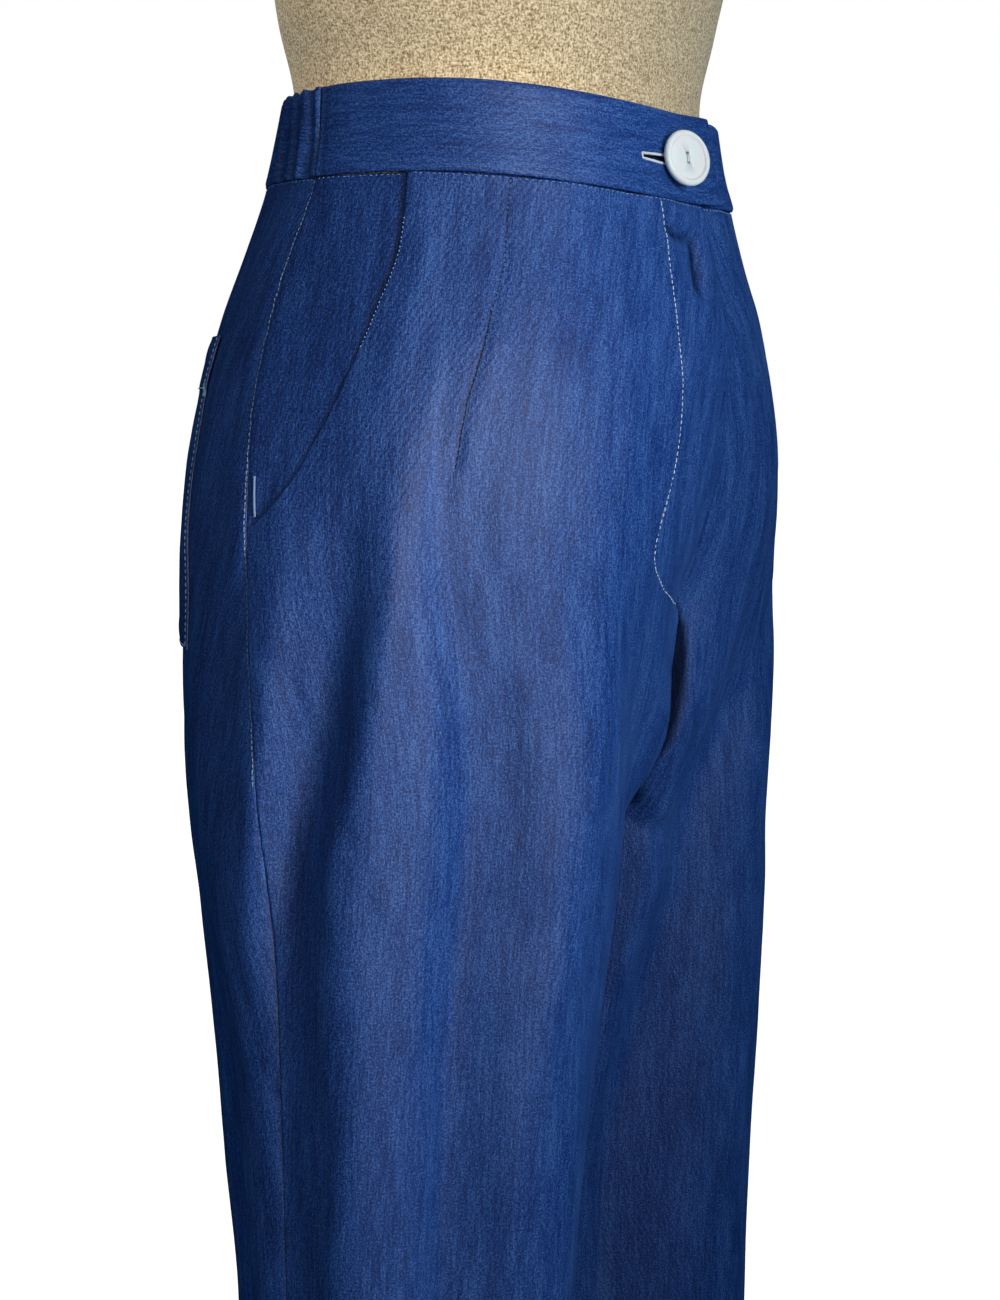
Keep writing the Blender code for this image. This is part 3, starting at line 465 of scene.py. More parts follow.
SEAM_AT = per_traced_row(lambda side, row: distance_at(side, row, read(SIDE_SEAM, row, 1)))
MOUTH_AT = per_traced_row(lambda side, row: distance_at(side, row, read(POCKET_EDGE, row, 1)))
FRONT_GRAIN_AT = per_traced_row(lambda side, row: distance_at(side, row, FRONT_GRAIN_TURN))
BACK_GRAIN_AT = per_traced_row(lambda side, row: distance_at(side, row, BACK_GRAIN_TURN))


# ---------------------------------------------------------------- where each panel starts and ends
def seam_distance(side, row):
    return np.interp(row, TRACE_ROWS, SEAM_AT[side])


def whole_distance(side, row):
    return np.interp(row, TRACE_ROWS, TRACED[side][:, -1])


def off_grain(side, distance, row):
    """Distance from the grain line of the front or of the back, whichever the place is on."""
    front = np.interp(row, TRACE_ROWS, FRONT_GRAIN_AT[side])
    back = np.interp(row, TRACE_ROWS, BACK_GRAIN_AT[side])
    return np.where(distance < seam_distance(side, row), distance - front, distance - back)


def mouth_distance(side, row):
    """The slant pocket's edge, and below it the side seam."""
    seam = seam_distance(side, row) - GAP / 2
    edge = np.minimum(seam, np.interp(row, TRACE_ROWS, MOUTH_AT[side]))
    return np.where(np.asarray(row) < SLANT_POCKET_BOTTOM, seam, edge)


def front_span(side, row):
    lap = smooth((row - FLY_END) / 0.012) * (side == RIGHT)
    return GAP / 2 - (FLY_LAP + GAP / 2) * lap, mouth_distance(side, row)


def back_span(side, row):
    return seam_distance(side, row) + GAP / 2, whole_distance(side, row) - GAP / 2


def facing_span(side, row):
    return mouth_distance(side, row) - FACING_UNDER, seam_distance(side, row) - GAP / 2


def back_pocket_span(side, row):
    """The back pocket's near and far edges."""
    start, end = back_span(side, row)
    level = np.clip(row, BACK_POCKET_BOTTOM, BACK_POCKET_TOP)
    level_width = whole_distance(side, level) - seam_distance(side, level)
    lower = (BACK_POCKET_TOP - level) / (BACK_POCKET_TOP - BACK_POCKET_BOTTOM)
    near = np.interp(lower, (0, 1), BACK_POCKET_FROM_SIDE) / level_width
    far = near + BACK_POCKET_WIDTH / level_width
    return start + near * (end - start), start + far * (end - start)


# ---------------------------------------------------------------- fine relief of the cloth
def plateau(x, first, last, soft):
    return smooth((x - first) / soft) * (1 - smooth((x - last) / soft))


def turned_in(x, reach, depth):
    """How far a sewn or folded edge rolls in, at a distance x from it."""
    return depth * (1 - np.clip(x / reach, 0, 1)) ** 2


def ripples(seed, across, down):
    """Soft unevenness of hanging cloth: a few dozen seeded waves, most of them upright."""
    rng = np.random.default_rng(seed)
    out = np.zeros(np.broadcast(across, down).shape)
    for count, shortest, longest, slant, height in RIPPLES:
        for _ in range(count):
            length = rng.uniform(shortest, longest)
            lean = rng.normal(0, slant)
            phase = rng.uniform(0, 2 * math.pi)
            wave = 2 * math.pi * (across + lean * down) / length + phase
            out = out + height / math.sqrt(count) * np.sin(wave + 1.3 * np.sin(down / longest * 1.7 + phase))
    return out


def beside(distance, row, line):
    """How far a place is from a line, and how far along the line its nearest spot is, from 0 to 1."""
    steps = np.linalg.norm(np.diff(line, axis=0), axis=1)
    far = np.full(np.broadcast(distance, row).shape, np.inf)
    along = np.zeros_like(far)
    passed = 0.0
    for first, second, length in zip(line[:-1], line[1:], steps):
        step = second - first
        share = np.clip(((row - first[0]) * step[0] + (distance - first[1]) * step[1]) / length ** 2, 0, 1)
        here = np.hypot(row - first[0] - share * step[0], distance - first[1] - share * step[1])
        closer = here < far
        far = np.where(closer, here, far)
        along = np.where(closer, (passed + share * length) / steps.sum(), along)
        passed += length
    return far, along


def bell(x, width):
    return np.exp(-(x / width) ** 2)


def creased(distance, row, line, half_width, height):
    """A soft trough or ridge along a line, fading out at both ends."""
    far, along = beside(distance, row, np.array(line))
    fade = smooth(along / CREASE_FADE) * smooth((1 - along) / CREASE_FADE)
    return height * fade * bell(far, half_width)


def dart_relief(distance, row):
    """The dart's sewn groove, deepest at its tip, with the cloth full on both sides of it."""
    far, along = beside(distance, row, DART)
    tip = smooth((along - DART_TIP_FROM) / (1 - DART_TIP_FROM))
    groove = -(DART_DEPTH + DART_TIP_DEEPER * tip) * bell(far, DART_WIDTH + DART_TIP_WIDER * tip)
    full = DART_FULL * bell(far - DART_FULL_AT, DART_FULL_WIDTH)
    return (groove + full * (1 - 0.7 * tip)) * smooth((row - DART[-1, 0] + DART_END / 2) / DART_END)


def front_relief(side, distance, row):
    out = ripples(11 if side == RIGHT else 12, off_grain(side, distance, row), row)
    out = out + dart_relief(distance, row)
    if side == RIGHT:
        far, _ = beside(distance, row, J_STITCH)
        out = out - J_SINK * bell(far, J_SINK_WIDTH) + J_FULL * bell(far - J_FULL_AT, J_FULL_WIDTH)
    for crease_side, half_width, height, line in CREASES:
        if crease_side == side:
            out = out + creased(distance, row, line, half_width, height)
    return out


def back_relief(side, distance, row):
    out = ripples(21 if side == RIGHT else 22, off_grain(side, distance, row), row)
    from_back = whole_distance(side, row) - distance
    for half_width, height, line in BACK_CREASES:
        out = out + creased(from_back, row, line, half_width, height)
    return out


def seam_pucker(side, away, row):
    """Small gathers that the side seam's thread pulls up, fading away from it."""
    rng = np.random.default_rng(31 + side)
    phase = 0
    for _ in range(3):
        length = rng.uniform(0.008, 0.019)
        phase = phase + np.sin(2 * math.pi * row / length + rng.uniform(0, 6))
    return SEAM_PUCKER * phase * np.exp(-np.abs(away) / SEAM_PUCKER_REACH)


def fly_step(row, distance):
    """How far the left front sinks under the right one at the fly."""
    sink = CLOTH + 2 * GAP
    across = 1 - smooth((distance - FLY_SINK_NEAR) / (FLY_SINK_FAR - FLY_SINK_NEAR))
    return -sink * smooth((row - FLY_LEVEL) / (FLY_END - FLY_LEVEL)) * across


def hem_relief(row):
    """The doubled hem: a touch thicker, with a groove at its stitching."""
    up = row - HEM
    return HEM_STEP * (1 - smooth((up - HEM_DEPTH) / 0.002)) - HEM_STEP * bell(up - HEM_DEPTH, 0.001)


def waist_roll(row):
    """The panels roll in at the waist seam."""
    return -turned_in(WAIST_SEAM - row, SEAM_ROLL, 0.0006)


def allowance(from_seam):
    """The seam's turnings underneath lift the cloth beside it."""
    return 0.0004 * plateau(from_seam, 0.0010, 0.010, 0.003)


def centre_groove(side, distance, row):
    """The centre seam pulled in below the fly, down to the fork, with the right side standing up beside it."""
    deep = smooth((FLY_END - row) / 0.014) * smooth((row - GROOVE_END) / 0.016)
    lip = LIP_HEIGHT * bell(distance - LIP_AT, LIP_WIDTH) * (side == RIGHT)
    return deep * (lip - GROOVE_DEPTH * bell(distance, GROOVE_WIDTHS[side]))


def painted_fold_shade(side, distance, row):
    """How much painted shade a front gets in the depth of its tight folds, 0 to 1."""
    if side == LEFT:
        edge = np.interp(row, FORK_PAINTED_SHADE[::-1, 0], FORK_PAINTED_SHADE[::-1, 1])
        top, bottom = FORK_PAINTED_SHADE[0, 0], FORK_PAINTED_SHADE[-1, 0]
        beside_seam = smooth((edge - distance) / FORK_PAINTED_SHADE_SOFT) * smooth((top - row) / 0.010)
        far, along = beside(distance, row, THIGH_PAINTED_SHADE)
        return np.maximum(FORK_PAINTED_SHADE_SHARE * beside_seam * smooth((row - bottom) / 0.004),
                          bell(far, THIGH_PAINTED_SHADE_WIDTH) * smooth((1 - along) / 0.5))
    painted_shade = np.zeros_like(distance)
    for crease_side, half_width, height, line in CREASES:
        if crease_side == side and height < TIGHT_CREASE:
            painted_shade = np.maximum(painted_shade, creased(distance, row, line, 0.6 * half_width, CREASE_PAINTED_SHADE_SHARE))
    return painted_shade


def front_out(side, distance, row):
    start, end = front_span(side, row)
    from_start, from_end = distance - start, end - distance
    out = front_relief(side, distance, row) + centre_groove(side, distance, row)
    lapped = smooth((row - FLY_END) / 0.012) * (side == RIGHT)
    mouth = smooth((row - SLANT_POCKET_BOTTOM) / 0.006)
    out = out - turned_in(from_start, SEAM_ROLL, 0.0006 + 0.0003 * lapped)
    out = out - turned_in(from_end, 0.0012, 0.0005 - 0.0002 * mouth)
    out = out + (1 - lapped) * allowance(from_start)
    out = out + seam_pucker(side, from_end, row) * (1 - mouth)
    out = out + waist_roll(row) + hem_relief(row)
    if side == LEFT:
        out = out + fly_step(row, distance)
    return out


def back_out(side, distance, row):
    start, end = back_span(side, row)
    from_start, from_end = distance - start, end - distance
    out = back_relief(side, distance, row)
    out = out - turned_in(from_start, SEAM_ROLL, 0.0005) - turned_in(from_end, SEAM_ROLL, 0.0006)
    out = out + allowance(from_start) + allowance(from_end) + seam_pucker(side, from_start, row)
    return out + waist_roll(row) + hem_relief(row)


def facing_out(side, distance, row):
    mouth, seam = mouth_distance(side, row), seam_distance(side, row)
    sink = SHELL + GAP
    across = np.clip((seam - distance) / np.maximum(seam - mouth, 0.004), 0, 1)
    out = -sink * smooth(across * 1.6) + 0.5 * ripples(41, off_grain(side, distance, row), row)
    out = out - turned_in(seam - distance, SEAM_ROLL, 0.0005) + seam_pucker(side, seam - distance, row)
    return out + waist_roll(row)


def back_pocket_out(side, distance, row):
    start, end = back_pocket_span(side, row)
    edge = np.minimum(np.minimum(distance - start, end - distance),
                      np.minimum(BACK_POCKET_TOP - row, row - BACK_POCKET_BOTTOM))
    out = back_out(side, distance, row) + GAP + POCKET_CLOTH
    out = out + 0.0006 * smooth((row - BACK_POCKET_HEM + 0.0015) / 0.0015)
    out = out - turned_in(edge, 0.0012, 0.0007) - 0.00025 * bell(edge - POCKET_STITCH_IN, 0.0009)
    return out + 0.0003 * plateau(edge, 0.003, 0.010, 0.004)


# ---------------------------------------------------------------- node materials
def feed(tree, socket, value):
    """Links another node's output to a socket, or sets the socket to a number, a tuple or a colour."""
    if isinstance(value, bpy.types.NodeSocket):
        tree.links.new(value, socket)
    elif socket.type == "RGBA" and len(value) == 3:
        socket.default_value = (*value, 1)
    else:
        socket.default_value = value


def node(tree, kind, settings=None, **inputs):
    """A new shader node; inputs are numbers, tuples or other nodes' output sockets."""
    made = tree.nodes.new("ShaderNode" + kind)
    for name, value in (settings or {}).items():
        setattr(made, name, value)
    for name, value in inputs.items():
        feed(tree, made.inputs[name.replace("_", " ")], value)
    return made


def maths(tree, operation, first, second):
    made = node(tree, "Math", {"operation": operation})
    feed(tree, made.inputs[0], first)
    feed(tree, made.inputs[1], second)
    return made.outputs[0]


def mixed(tree, share, first, second):
    """A colour between two others; the Mix node's colour sockets are its seventh and eighth."""
    made = node(tree, "Mix", {"data_type": "RGBA"})
    for index, value in ((0, share), (6, first), (7, second)):
        feed(tree, made.inputs[index], value)
    return made.outputs[2]


def scaled_place(tree, place, factors):
    made = node(tree, "VectorMath", {"operation": "MULTIPLY"})
    tree.links.new(place, made.inputs[0])
    made.inputs[1].default_value = factors
    return made.outputs[0]


def ramp(tree, share, stops, interpolation="EASE"):
    made = node(tree, "ValToRGB", Fac=share)
    made.color_ramp.interpolation = interpolation
    elements = made.color_ramp.elements
    while len(elements) < len(stops):
        elements.new(0.5)
    for element, (place, colour) in zip(elements, stops):
        element.position = place
        element.color = (*colour, 1) if len(colour) == 3 else (colour[0],) * 3 + (1,)
    return made.outputs[0]


def stretched_noise(tree, place, size, detail=2.0, roughness=0.5, dimensions="2D"):
    """Noise whose grains have the given size in metres, two or three numbers of it."""
    factors = tuple(1 / value for value in size) + (1,) * (3 - len(size))
    made = node(tree, "TexNoise", {"noise_dimensions": dimensions}, Vector=scaled_place(tree, place, factors),
                Scale=1.0, Detail=detail, Roughness=roughness)
    return made.outputs["Fac"]


def finish_of(name, **settings):
    """A material with a Principled shader, its plain numbers set on the shader's own sockets."""
    made = bpy.data.materials.new(name)
    made.use_nodes = True
    shader = made.node_tree.nodes["Principled BSDF"]
    for socket, value in settings.items():
        shader.inputs[socket.replace("_", " ")].default_value = value
    return made, made.node_tree, shader


def bumped(tree, shader, height, distance, strength=1.0):
    made = node(tree, "Bump", Height=height, Distance=distance, Strength=strength)
    tree.links.new(made.outputs[0], shader.inputs["Normal"])


DENIM_GLOSS = 0.50
TWILL = (180.0, 110.0, 1.0)        # diagonal ribs a metre, across and along the grain
DENIM_DEEP = (0.0004, 0.0130, 0.0900)
DENIM_BLUE = (0.0040, 0.0460, 0.2400)
DENIM_PALE = (0.0600, 0.1500, 0.4100)
# painted shade: the colour painted into the depth of tight folds
PAINTED_FOLD_SHADE_COLOUR = (0.0002, 0.0010, 0.0060)


def denim(name, painted_darkening=0.0):
    """Light denim: saturated blue warp with pale weft showing through in fine upright streaks and specks."""
    made, tree, shader = finish_of(name, Roughness=0.58)
    grain = node(tree, "UVMap", {"uv_map": "grain"}).outputs[0]
    yarn = stretched_noise(tree, grain, (0.0007, 0.0036), 2.0, 0.6)
    speck = stretched_noise(tree, grain, (0.0009, 0.0010), 2.0, 0.7)
    slub = stretched_noise(tree, grain, (0.0018, 0.0220), 2.0, 0.6)
    patch = stretched_noise(tree, grain, (0.0120, 0.0700), 2.0, 0.5)
    share = maths(tree, "ADD", maths(tree, "MULTIPLY", yarn, 0.22), maths(tree, "MULTIPLY", speck, 0.48))
    share = maths(tree, "ADD", share, maths(tree, "MULTIPLY", slub, 0.18))
    share = maths(tree, "ADD", share, maths(tree, "MULTIPLY", patch, 0.12))
    # painted shade: a copy of the denim can be painted darker all over
    share = maths(tree, "SUBTRACT", share, painted_darkening)
    colour = ramp(tree, share, [(0.38, DENIM_DEEP), (0.49, DENIM_BLUE), (0.61, DENIM_PALE)], "LINEAR")
    # painted shade: a mesh attribute darkens the colour towards the painted shade colour and takes the gloss away
    # in the depth of the folds
    painted_shade = node(tree, "Attribute", {"attribute_name": "painted_shade"}).outputs["Fac"]
    tree.links.new(mixed(tree, painted_shade, colour, PAINTED_FOLD_SHADE_COLOUR), shader.inputs["Base Color"])
    gloss = maths(tree, "MULTIPLY", maths(tree, "SUBTRACT", 1.0, painted_shade), DENIM_GLOSS)
    tree.links.new(gloss, shader.inputs["Specular IOR Level"])
    twill = node(tree, "TexWave", {"bands_direction": "DIAGONAL"}, Scale=1.0, Distortion=1.5, Detail=1.0,
                 Vector=scaled_place(tree, grain, TWILL))
    height = maths(tree, "ADD", maths(tree, "MULTIPLY", twill.outputs["Fac"], 0.35),
                   maths(tree, "ADD", yarn, maths(tree, "MULTIPLY", speck, 0.7)))
    bumped(tree, shader, height, 0.00028, 0.8)
    return made


def thread(name, colour):
    made, tree, shader = finish_of(name, Roughness=0.7, Sheen_Weight=0.3, Specular_IOR_Level=0.3)
    place = node(tree, "TexCoord").outputs["Object"]
    fuzz = stretched_noise(tree, place, (0.0003, 0.0003, 0.0003), 1.0, 0.5, "3D")
    deep = tuple(0.72 * value for value in colour)
    tree.links.new(mixed(tree, fuzz, deep, colour), shader.inputs["Base Color"])
    bumped(tree, shader, fuzz, 0.0001, 0.6)
    return made


def button_plastic():
    """White moulded plastic with a faint pearly clouding."""
    made, tree, shader = finish_of("button_white", Roughness=0.20, Specular_IOR_Level=0.55, Coat_Weight=0.35,
                                   Coat_Roughness=0.12, Subsurface_Weight=0.15, Subsurface_Scale=0.002)
    place = node(tree, "TexCoord").outputs["Object"]
    cloud = stretched_noise(tree, place, (0.006, 0.006, 0.006), 2.0, 0.5, "3D")
    tree.links.new(mixed(tree, cloud, (0.90, 0.88, 0.84), (0.97, 0.95, 0.92)), shader.inputs["Base Color"])
    return made


def linen():
    """Coarse natural linen: thick uneven threads both ways, pale on top and brown between."""
    made, tree, shader = finish_of("form_linen", Roughness=0.9, Specular_IOR_Level=0.25, Sheen_Weight=0.2)
    place = node(tree, "TexCoord").outputs["Object"]
    pebble = stretched_noise(tree, place, (0.0010, 0.0010, 0.0012), 2.0, 0.8, "3D")
    weft = stretched_noise(tree, place, (0.0028, 0.0028, 0.0009), 1.0, 0.5, "3D")
    warp = stretched_noise(tree, place, (0.0009, 0.0009, 0.0028), 1.0, 0.5, "3D")
    stain = stretched_noise(tree, place, (0.050, 0.050, 0.060), 3.0, 0.6, "3D")
    share = maths(tree, "ADD", maths(tree, "MULTIPLY", pebble, 0.6),
                  maths(tree, "MULTIPLY", maths(tree, "ADD", weft, warp), 0.2))
    colour = ramp(tree, share, [(0.38, (0.19, 0.115, 0.052)), (0.47, (0.50, 0.355, 0.185)),
                                (0.58, (0.90, 0.72, 0.47))], "LINEAR")
    colour = mixed(tree, ramp(tree, stain, [(0.50, (0.0,)), (0.80, (0.25,))]), colour, (0.40, 0.27, 0.16))
    tree.links.new(colour, shader.inputs["Base Color"])
    bumped(tree, shader, share, 0.0012, 0.8)
    return made


def wood():
    made, tree, shader = finish_of("cap_wood", Roughness=0.35, Specular_IOR_Level=0.5, Coat_Weight=0.3,
                                   Coat_Roughness=0.2)
    place = node(tree, "TexCoord").outputs["Object"]
    rings = stretched_noise(tree, place, (0.004, 0.030, 0.012), 4.0, 0.6, "3D")
    pores = stretched_noise(tree, place, (0.0007, 0.0090, 0.0030), 2.0, 0.6, "3D")
    colour = ramp(tree, rings, [(0.35, (0.120, 0.060, 0.026)), (0.50, (0.210, 0.115, 0.052)),
                                (0.66, (0.300, 0.175, 0.085))])
    tree.links.new(mixed(tree, maths(tree, "MULTIPLY", pores, 0.5), colour, (0.06, 0.03, 0.015)),
                   shader.inputs["Base Color"])
    bumped(tree, shader, pores, 0.0002, 0.5)
    return made


def coated_steel():
    """Black powder coat: a fine orange peel with a little dust worn pale."""
    made, tree, shader = finish_of("stand_steel", Specular_IOR_Level=0.5)
    place = node(tree, "TexCoord").outputs["Object"]
    peel = stretched_noise(tree, place, (0.0012, 0.0012, 0.0012), 2.0, 0.5, "3D")
    dust = stretched_noise(tree, place, (0.040, 0.040, 0.040), 5.0, 0.65, "3D")
    tree.links.new(ramp(tree, dust, [(0.40, (0.012, 0.012, 0.013)), (0.75, (0.040, 0.039, 0.038))]),
                   shader.inputs["Base Color"])
    tree.links.new(ramp(tree, dust, [(0.35, (0.34,)), (0.75, (0.52,))]), shader.inputs["Roughness"])
    bumped(tree, shader, peel, 0.0002, 0.7)
    return made


# ---------------------------------------------------------------- meshes
def piece(name, points, faces, finish, nodes=(), grain=None, sharp=None):
    """A smooth-shaded mesh on the part's body, standing for the given CAD nodes."""
    mesh = bpy.data.meshes.new(name)
    mesh.from_pydata(points, [], faces)
    mesh.shade_smooth()
    mesh.materials.append(finish)
    if sharp:
        mesh.set_sharp_from_angle(angle=math.radians(sharp))
    if grain is not None:
        corner = np.empty(len(mesh.loops), np.int32)
        mesh.loops.foreach_get("vertex_index", corner)
        mesh.uv_layers.new(name="grain").data.foreach_set("uv", grain[corner].astype(np.float32).ravel())
    made = bpy.data.objects.new(name, mesh)
    bpy.context.scene.collection.objects.link(made)
    return placed(made, nodes)


def placed(made, nodes=()):
    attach(made, BODY)
    if nodes:
        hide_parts(*nodes)
    return made


def shell(name, outer, inner, grain, finish, nodes=()):
    """A thin closed wall between two grids of points, rows first, with the cloth's grain as its UV map."""
    rows, columns = outer.shape[:2]
    layer = rows * columns
    index = np.arange(layer).reshape(rows, columns)
    quads = np.stack([index[:-1, :-1], index[1:, :-1], index[1:, 1:], index[:-1, 1:]], -1).reshape(-1, 4)
    rim = np.concatenate([index[0, :-1], index[:-1, -1], index[-1, :0:-1], index[:0:-1, 0]])
    after = np.roll(rim, -1)
    edge = np.stack([rim, after, after + layer, rim + layer], -1)
    faces = np.concatenate([quads, quads[:, ::-1] + layer, edge])
    first, second, _, last = (outer.reshape(-1, 3)[quads[:, k]] for k in range(4))
    facing = (np.cross(second - first, last - first) * (outer - inner).reshape(-1, 3)[quads[:, 0]]).sum()
    if facing < 0:
        faces = faces[:, ::-1]
    points = np.concatenate([outer.reshape(-1, 3), inner.reshape(-1, 3)])
    grain = np.concatenate([grain.reshape(-1, 2)] * 2)
    return piece(name, points, faces.tolist(), finish, nodes, grain)


CLOSE = np.array([0, 0.0003, 0.0007, 0.0012, 0.0018, 0.0027])   # columns and rows close to an edge
CLOSE_END = 0.0040
PANEL_ROW, LOW_ROW, BAND_ROW = 0.0025, 0.005, 0.0018            # rows of the mesh, and of its lower legs
FRONT_COLUMN, BACK_COLUMN, BAND_COLUMN, POCKET_COLUMN = 0.003, 0.0035, 0.0022, 0.002
LOW_FROM = 0.42                                                 # the folds run straight down below this height


def between(start, end, count):
    """Places from start to end, with close ones at both ends so that an edge can roll in."""
    middle = np.linspace(start + CLOSE_END, end - CLOSE_END, count)
    return np.concatenate([start + CLOSE, middle, end - CLOSE[::-1]])


def panel_rows(top, bottom, step=PANEL_ROW):
    """Rows from the top down, closer together where the folds are finest."""
    if bottom >= LOW_FROM:
        middle = np.linspace(top - CLOSE_END, bottom + CLOSE_END, round((top - bottom) / step))
    else:
        upper = np.linspace(top - CLOSE_END, LOW_FROM, round((top - LOW_FROM) / step))
        lower = np.linspace(LOW_FROM, bottom + CLOSE_END, round((LOW_FROM - bottom) / LOW_ROW))
        middle = np.concatenate([upper, lower[1:]])
    return np.concatenate([top - CLOSE, middle, bottom + CLOSE[::-1]])


def grid_area(points):
    """Area of a grid of points, rows first."""
    first = np.cross(points[1:, :-1] - points[:-1, :-1], points[:-1, 1:] - points[:-1, :-1])
    second = np.cross(points[:-1, 1:] - points[1:, 1:], points[1:, :-1] - points[1:, 1:])
    return float(np.linalg.norm(first, axis=-1).sum() + np.linalg.norm(second, axis=-1).sum()) / 2


def cut_size(points):
    """Width, length and area of the cut that shows, from the cloth's grid of points, rows first."""
    width = np.linalg.norm(np.diff(points, axis=1), axis=-1).sum(1).max()
    length = np.linalg.norm(np.diff(points, axis=0), axis=-1).sum(0).max()
    return float(width), float(length), grid_area(points)


def cloth_piece(name, side, span, out, rows, step, finish, thick=SHELL, across_grain=False):
    """A panel, facing, pocket or band half as a fine shell, and its cut."""
    spans = [span(side, np.array([row])) for row in rows]
    count = round(max(float(end[0] - start[0]) for start, end in spans) / step)
    distances = np.array([between(float(start[0]), float(end[0]), count) for start, end in spans])
    turns = np.array([turn_at(side, row, line) for row, line in zip(rows, distances)])
    grid_rows = np.repeat(rows[:, None], distances.shape[1], axis=1)
    outs = out(side, distances, grid_rows)
    edge = np.minimum(distances - distances[:, :1], distances[:, -1:] - distances)
    edge = np.minimum(edge, np.minimum(rows[0] - grid_rows, grid_rows - rows[-1]))
    depth = thick - turned_in(edge, 0.0012, 0.35 * thick)
    outer, inner = cloth(side, turns, rows[:, None], outs), cloth(side, turns, rows[:, None], outs - depth)
    off = distances if across_grain else off_grain(side, distances, grid_rows)
    grain = np.stack([grid_rows, off] if across_grain else [off, grid_rows], -1)
    made = shell(name + "_cloth", outer, inner, grain, finish, [name])
    # the fronts carry a painted shade attribute, which darkens their colour in the depth of the folds
    if span is front_span:
        painted_shades = np.tile(painted_fold_shade(side, distances, grid_rows).ravel(), 2)
        made.data.attributes.new("painted_shade", "FLOAT", "POINT").data.foreach_set("value", painted_shades.astype(np.float32))
    return made, cut_size(outer)


# ---------------------------------------------------------------- waistband
BAND_SHELL = 0.0022
BAND_BOTTOM = WAIST_SEAM + GAP
BAND_SEAM_TUCK = 0.0035        # width of the tuck beside the side seam


def right_band_out(distance):
    """How far the right half of the band stands out; its free end lifts off the left half."""
    lifted = smooth((OVERLAP_LIFT_FROM - distance) / (OVERLAP_LIFT_FROM + BAND_OVERLAP))
    return BAND_PROUD + OVERLAP_LIFT * lifted


def left_band_out(distance):
    """The left half runs on underneath the right one."""
    clear, level = BAND_OVERLAP + 0.003, BAND_OVERLAP + 0.018
    return BAND_PROUD - (BAND_CLOTH + 2 * GAP) * (1 - smooth((distance - clear) / (level - clear)))


def band_span(side, row):
    start = -BAND_OVERLAP if side == RIGHT else -BAND_UNDERLAP
    return np.full(np.shape(row), start), seam_distance(side, row) - GAP / 2


def band_out(side, distance, row):
    start, end = band_span(side, row)
    edge = np.minimum(np.minimum(distance - start, end - distance),
                      np.minimum(BAND_TOP - row, row - BAND_BOTTOM))
    out = right_band_out(distance) if side == RIGHT else left_band_out(distance)
    away = smooth((distance - 0.030) / 0.030)
    out = out + ripples(61, row - WAIST_SEAM, 0.6 * distance) * (0.3 + 0.7 * away)
    tuck = end - distance
    out = out - 0.0008 * bell(tuck - BAND_SEAM_TUCK, 0.0008)
    return out - turned_in(edge, 0.0024, 0.0011)


def back_band(finish):
    """The elasticated half of the band, gathered in uneven waves from side seam to side seam."""
    rows = panel_rows(BAND_TOP, BAND_BOTTOM, BAND_ROW)
    half = float(whole_distance(RIGHT, BAND_TOP) - seam_distance(RIGHT, BAND_TOP))
    close = CLOSE / half
    middle = np.linspace(-1 + 0.004 / half, 1 - 0.004 / half, GATHERS * 14)
    share = np.concatenate([-1 + close, middle, 1 - close[::-1]])
    up = (rows[:, None] - WAIST_SEAM) / BAND_HEIGHT
    phase = math.pi * GATHERS * share + 2.4 * np.sin(3.1 * share) + 0.5 * np.sin(7 * share + 4 * up)
    wave = np.cos(phase) + 0.35 * np.cos(0.61 * phase + 1.9 * up) + 0.30 * np.cos(1.7 * phase + 1.0 - 2.6 * up)
    wave = wave * (1 + 0.25 * np.sin(5 * share + 3 * up))
    ends = smooth((1 - np.abs(share)) / 0.05)
    outer, inner = (np.empty(wave.shape + (3,)) for _ in range(2))
    distances = np.empty(wave.shape)
    for index, row in enumerate(rows):
        edge = min(BAND_TOP - row, row - BAND_BOTTOM)
        from_end = (1 - np.abs(share)) * half
        from_edge = np.minimum(edge, from_end)
        out = BAND_PROUD + GATHER_DEPTH * wave[index] * ends - turned_in(from_edge, 0.0024, 0.0011)
        depth = BAND_SHELL - turned_in(from_edge, 0.0012, 0.35 * BAND_SHELL)
        height = row + 0.0006 * np.sin(phase[index]) * ends * smooth(up[index])
        for side in (RIGHT, LEFT):
            pick = share < 0 if side == RIGHT else share > 0
            start, end = seam_distance(side, row) + GAP / 2, whole_distance(side, row)
            distance = end - np.abs(share[pick]) * (end - start)
            turn = turn_at(side, row, distance)
            distances[index, pick] = side * (end - distance)
            outer[index, pick] = cloth(side, turn, height[pick], out[pick])
            inner[index, pick] = cloth(side, turn, height[pick], (out - depth)[pick])
    grain = np.stack([np.broadcast_to(rows[:, None], distances.shape), distances], -1)
    made = shell("waistband_back_cloth", outer, inner, grain, finish, ["waistband_back"])
    return made, cut_size(outer)


def on_cloth(side, row, distance, out):
    """Points of the cloth at rows and distances."""
    row, distance, out = np.broadcast_arrays(row, distance, out)
    turns = [turn_at(side, r, d) for r, d in zip(row.ravel(), distance.ravel())]
    return cloth(side, np.reshape(turns, row.shape), row, out)


def buttonhole_outline(margin=0.0):
    """The slot as places on the band, round under the button and narrowing to its far end: row, distance."""
    eye, far = BUTTONHOLE_WIDTH / 2 + margin, BUTTONHOLE_FAR_WIDTH / 2 + margin
    arc = np.radians(np.linspace(-80, 80, 13))
    across = np.concatenate([eye * np.cos(arc), [-BUTTONHOLE_LENGTH - margin] * 2])
    up = np.concatenate([eye * np.sin(arc), [far, -far]])
    return WAIST_SEAM + BUTTON_HEIGHT + up, BUTTON_FROM_FRONT - across


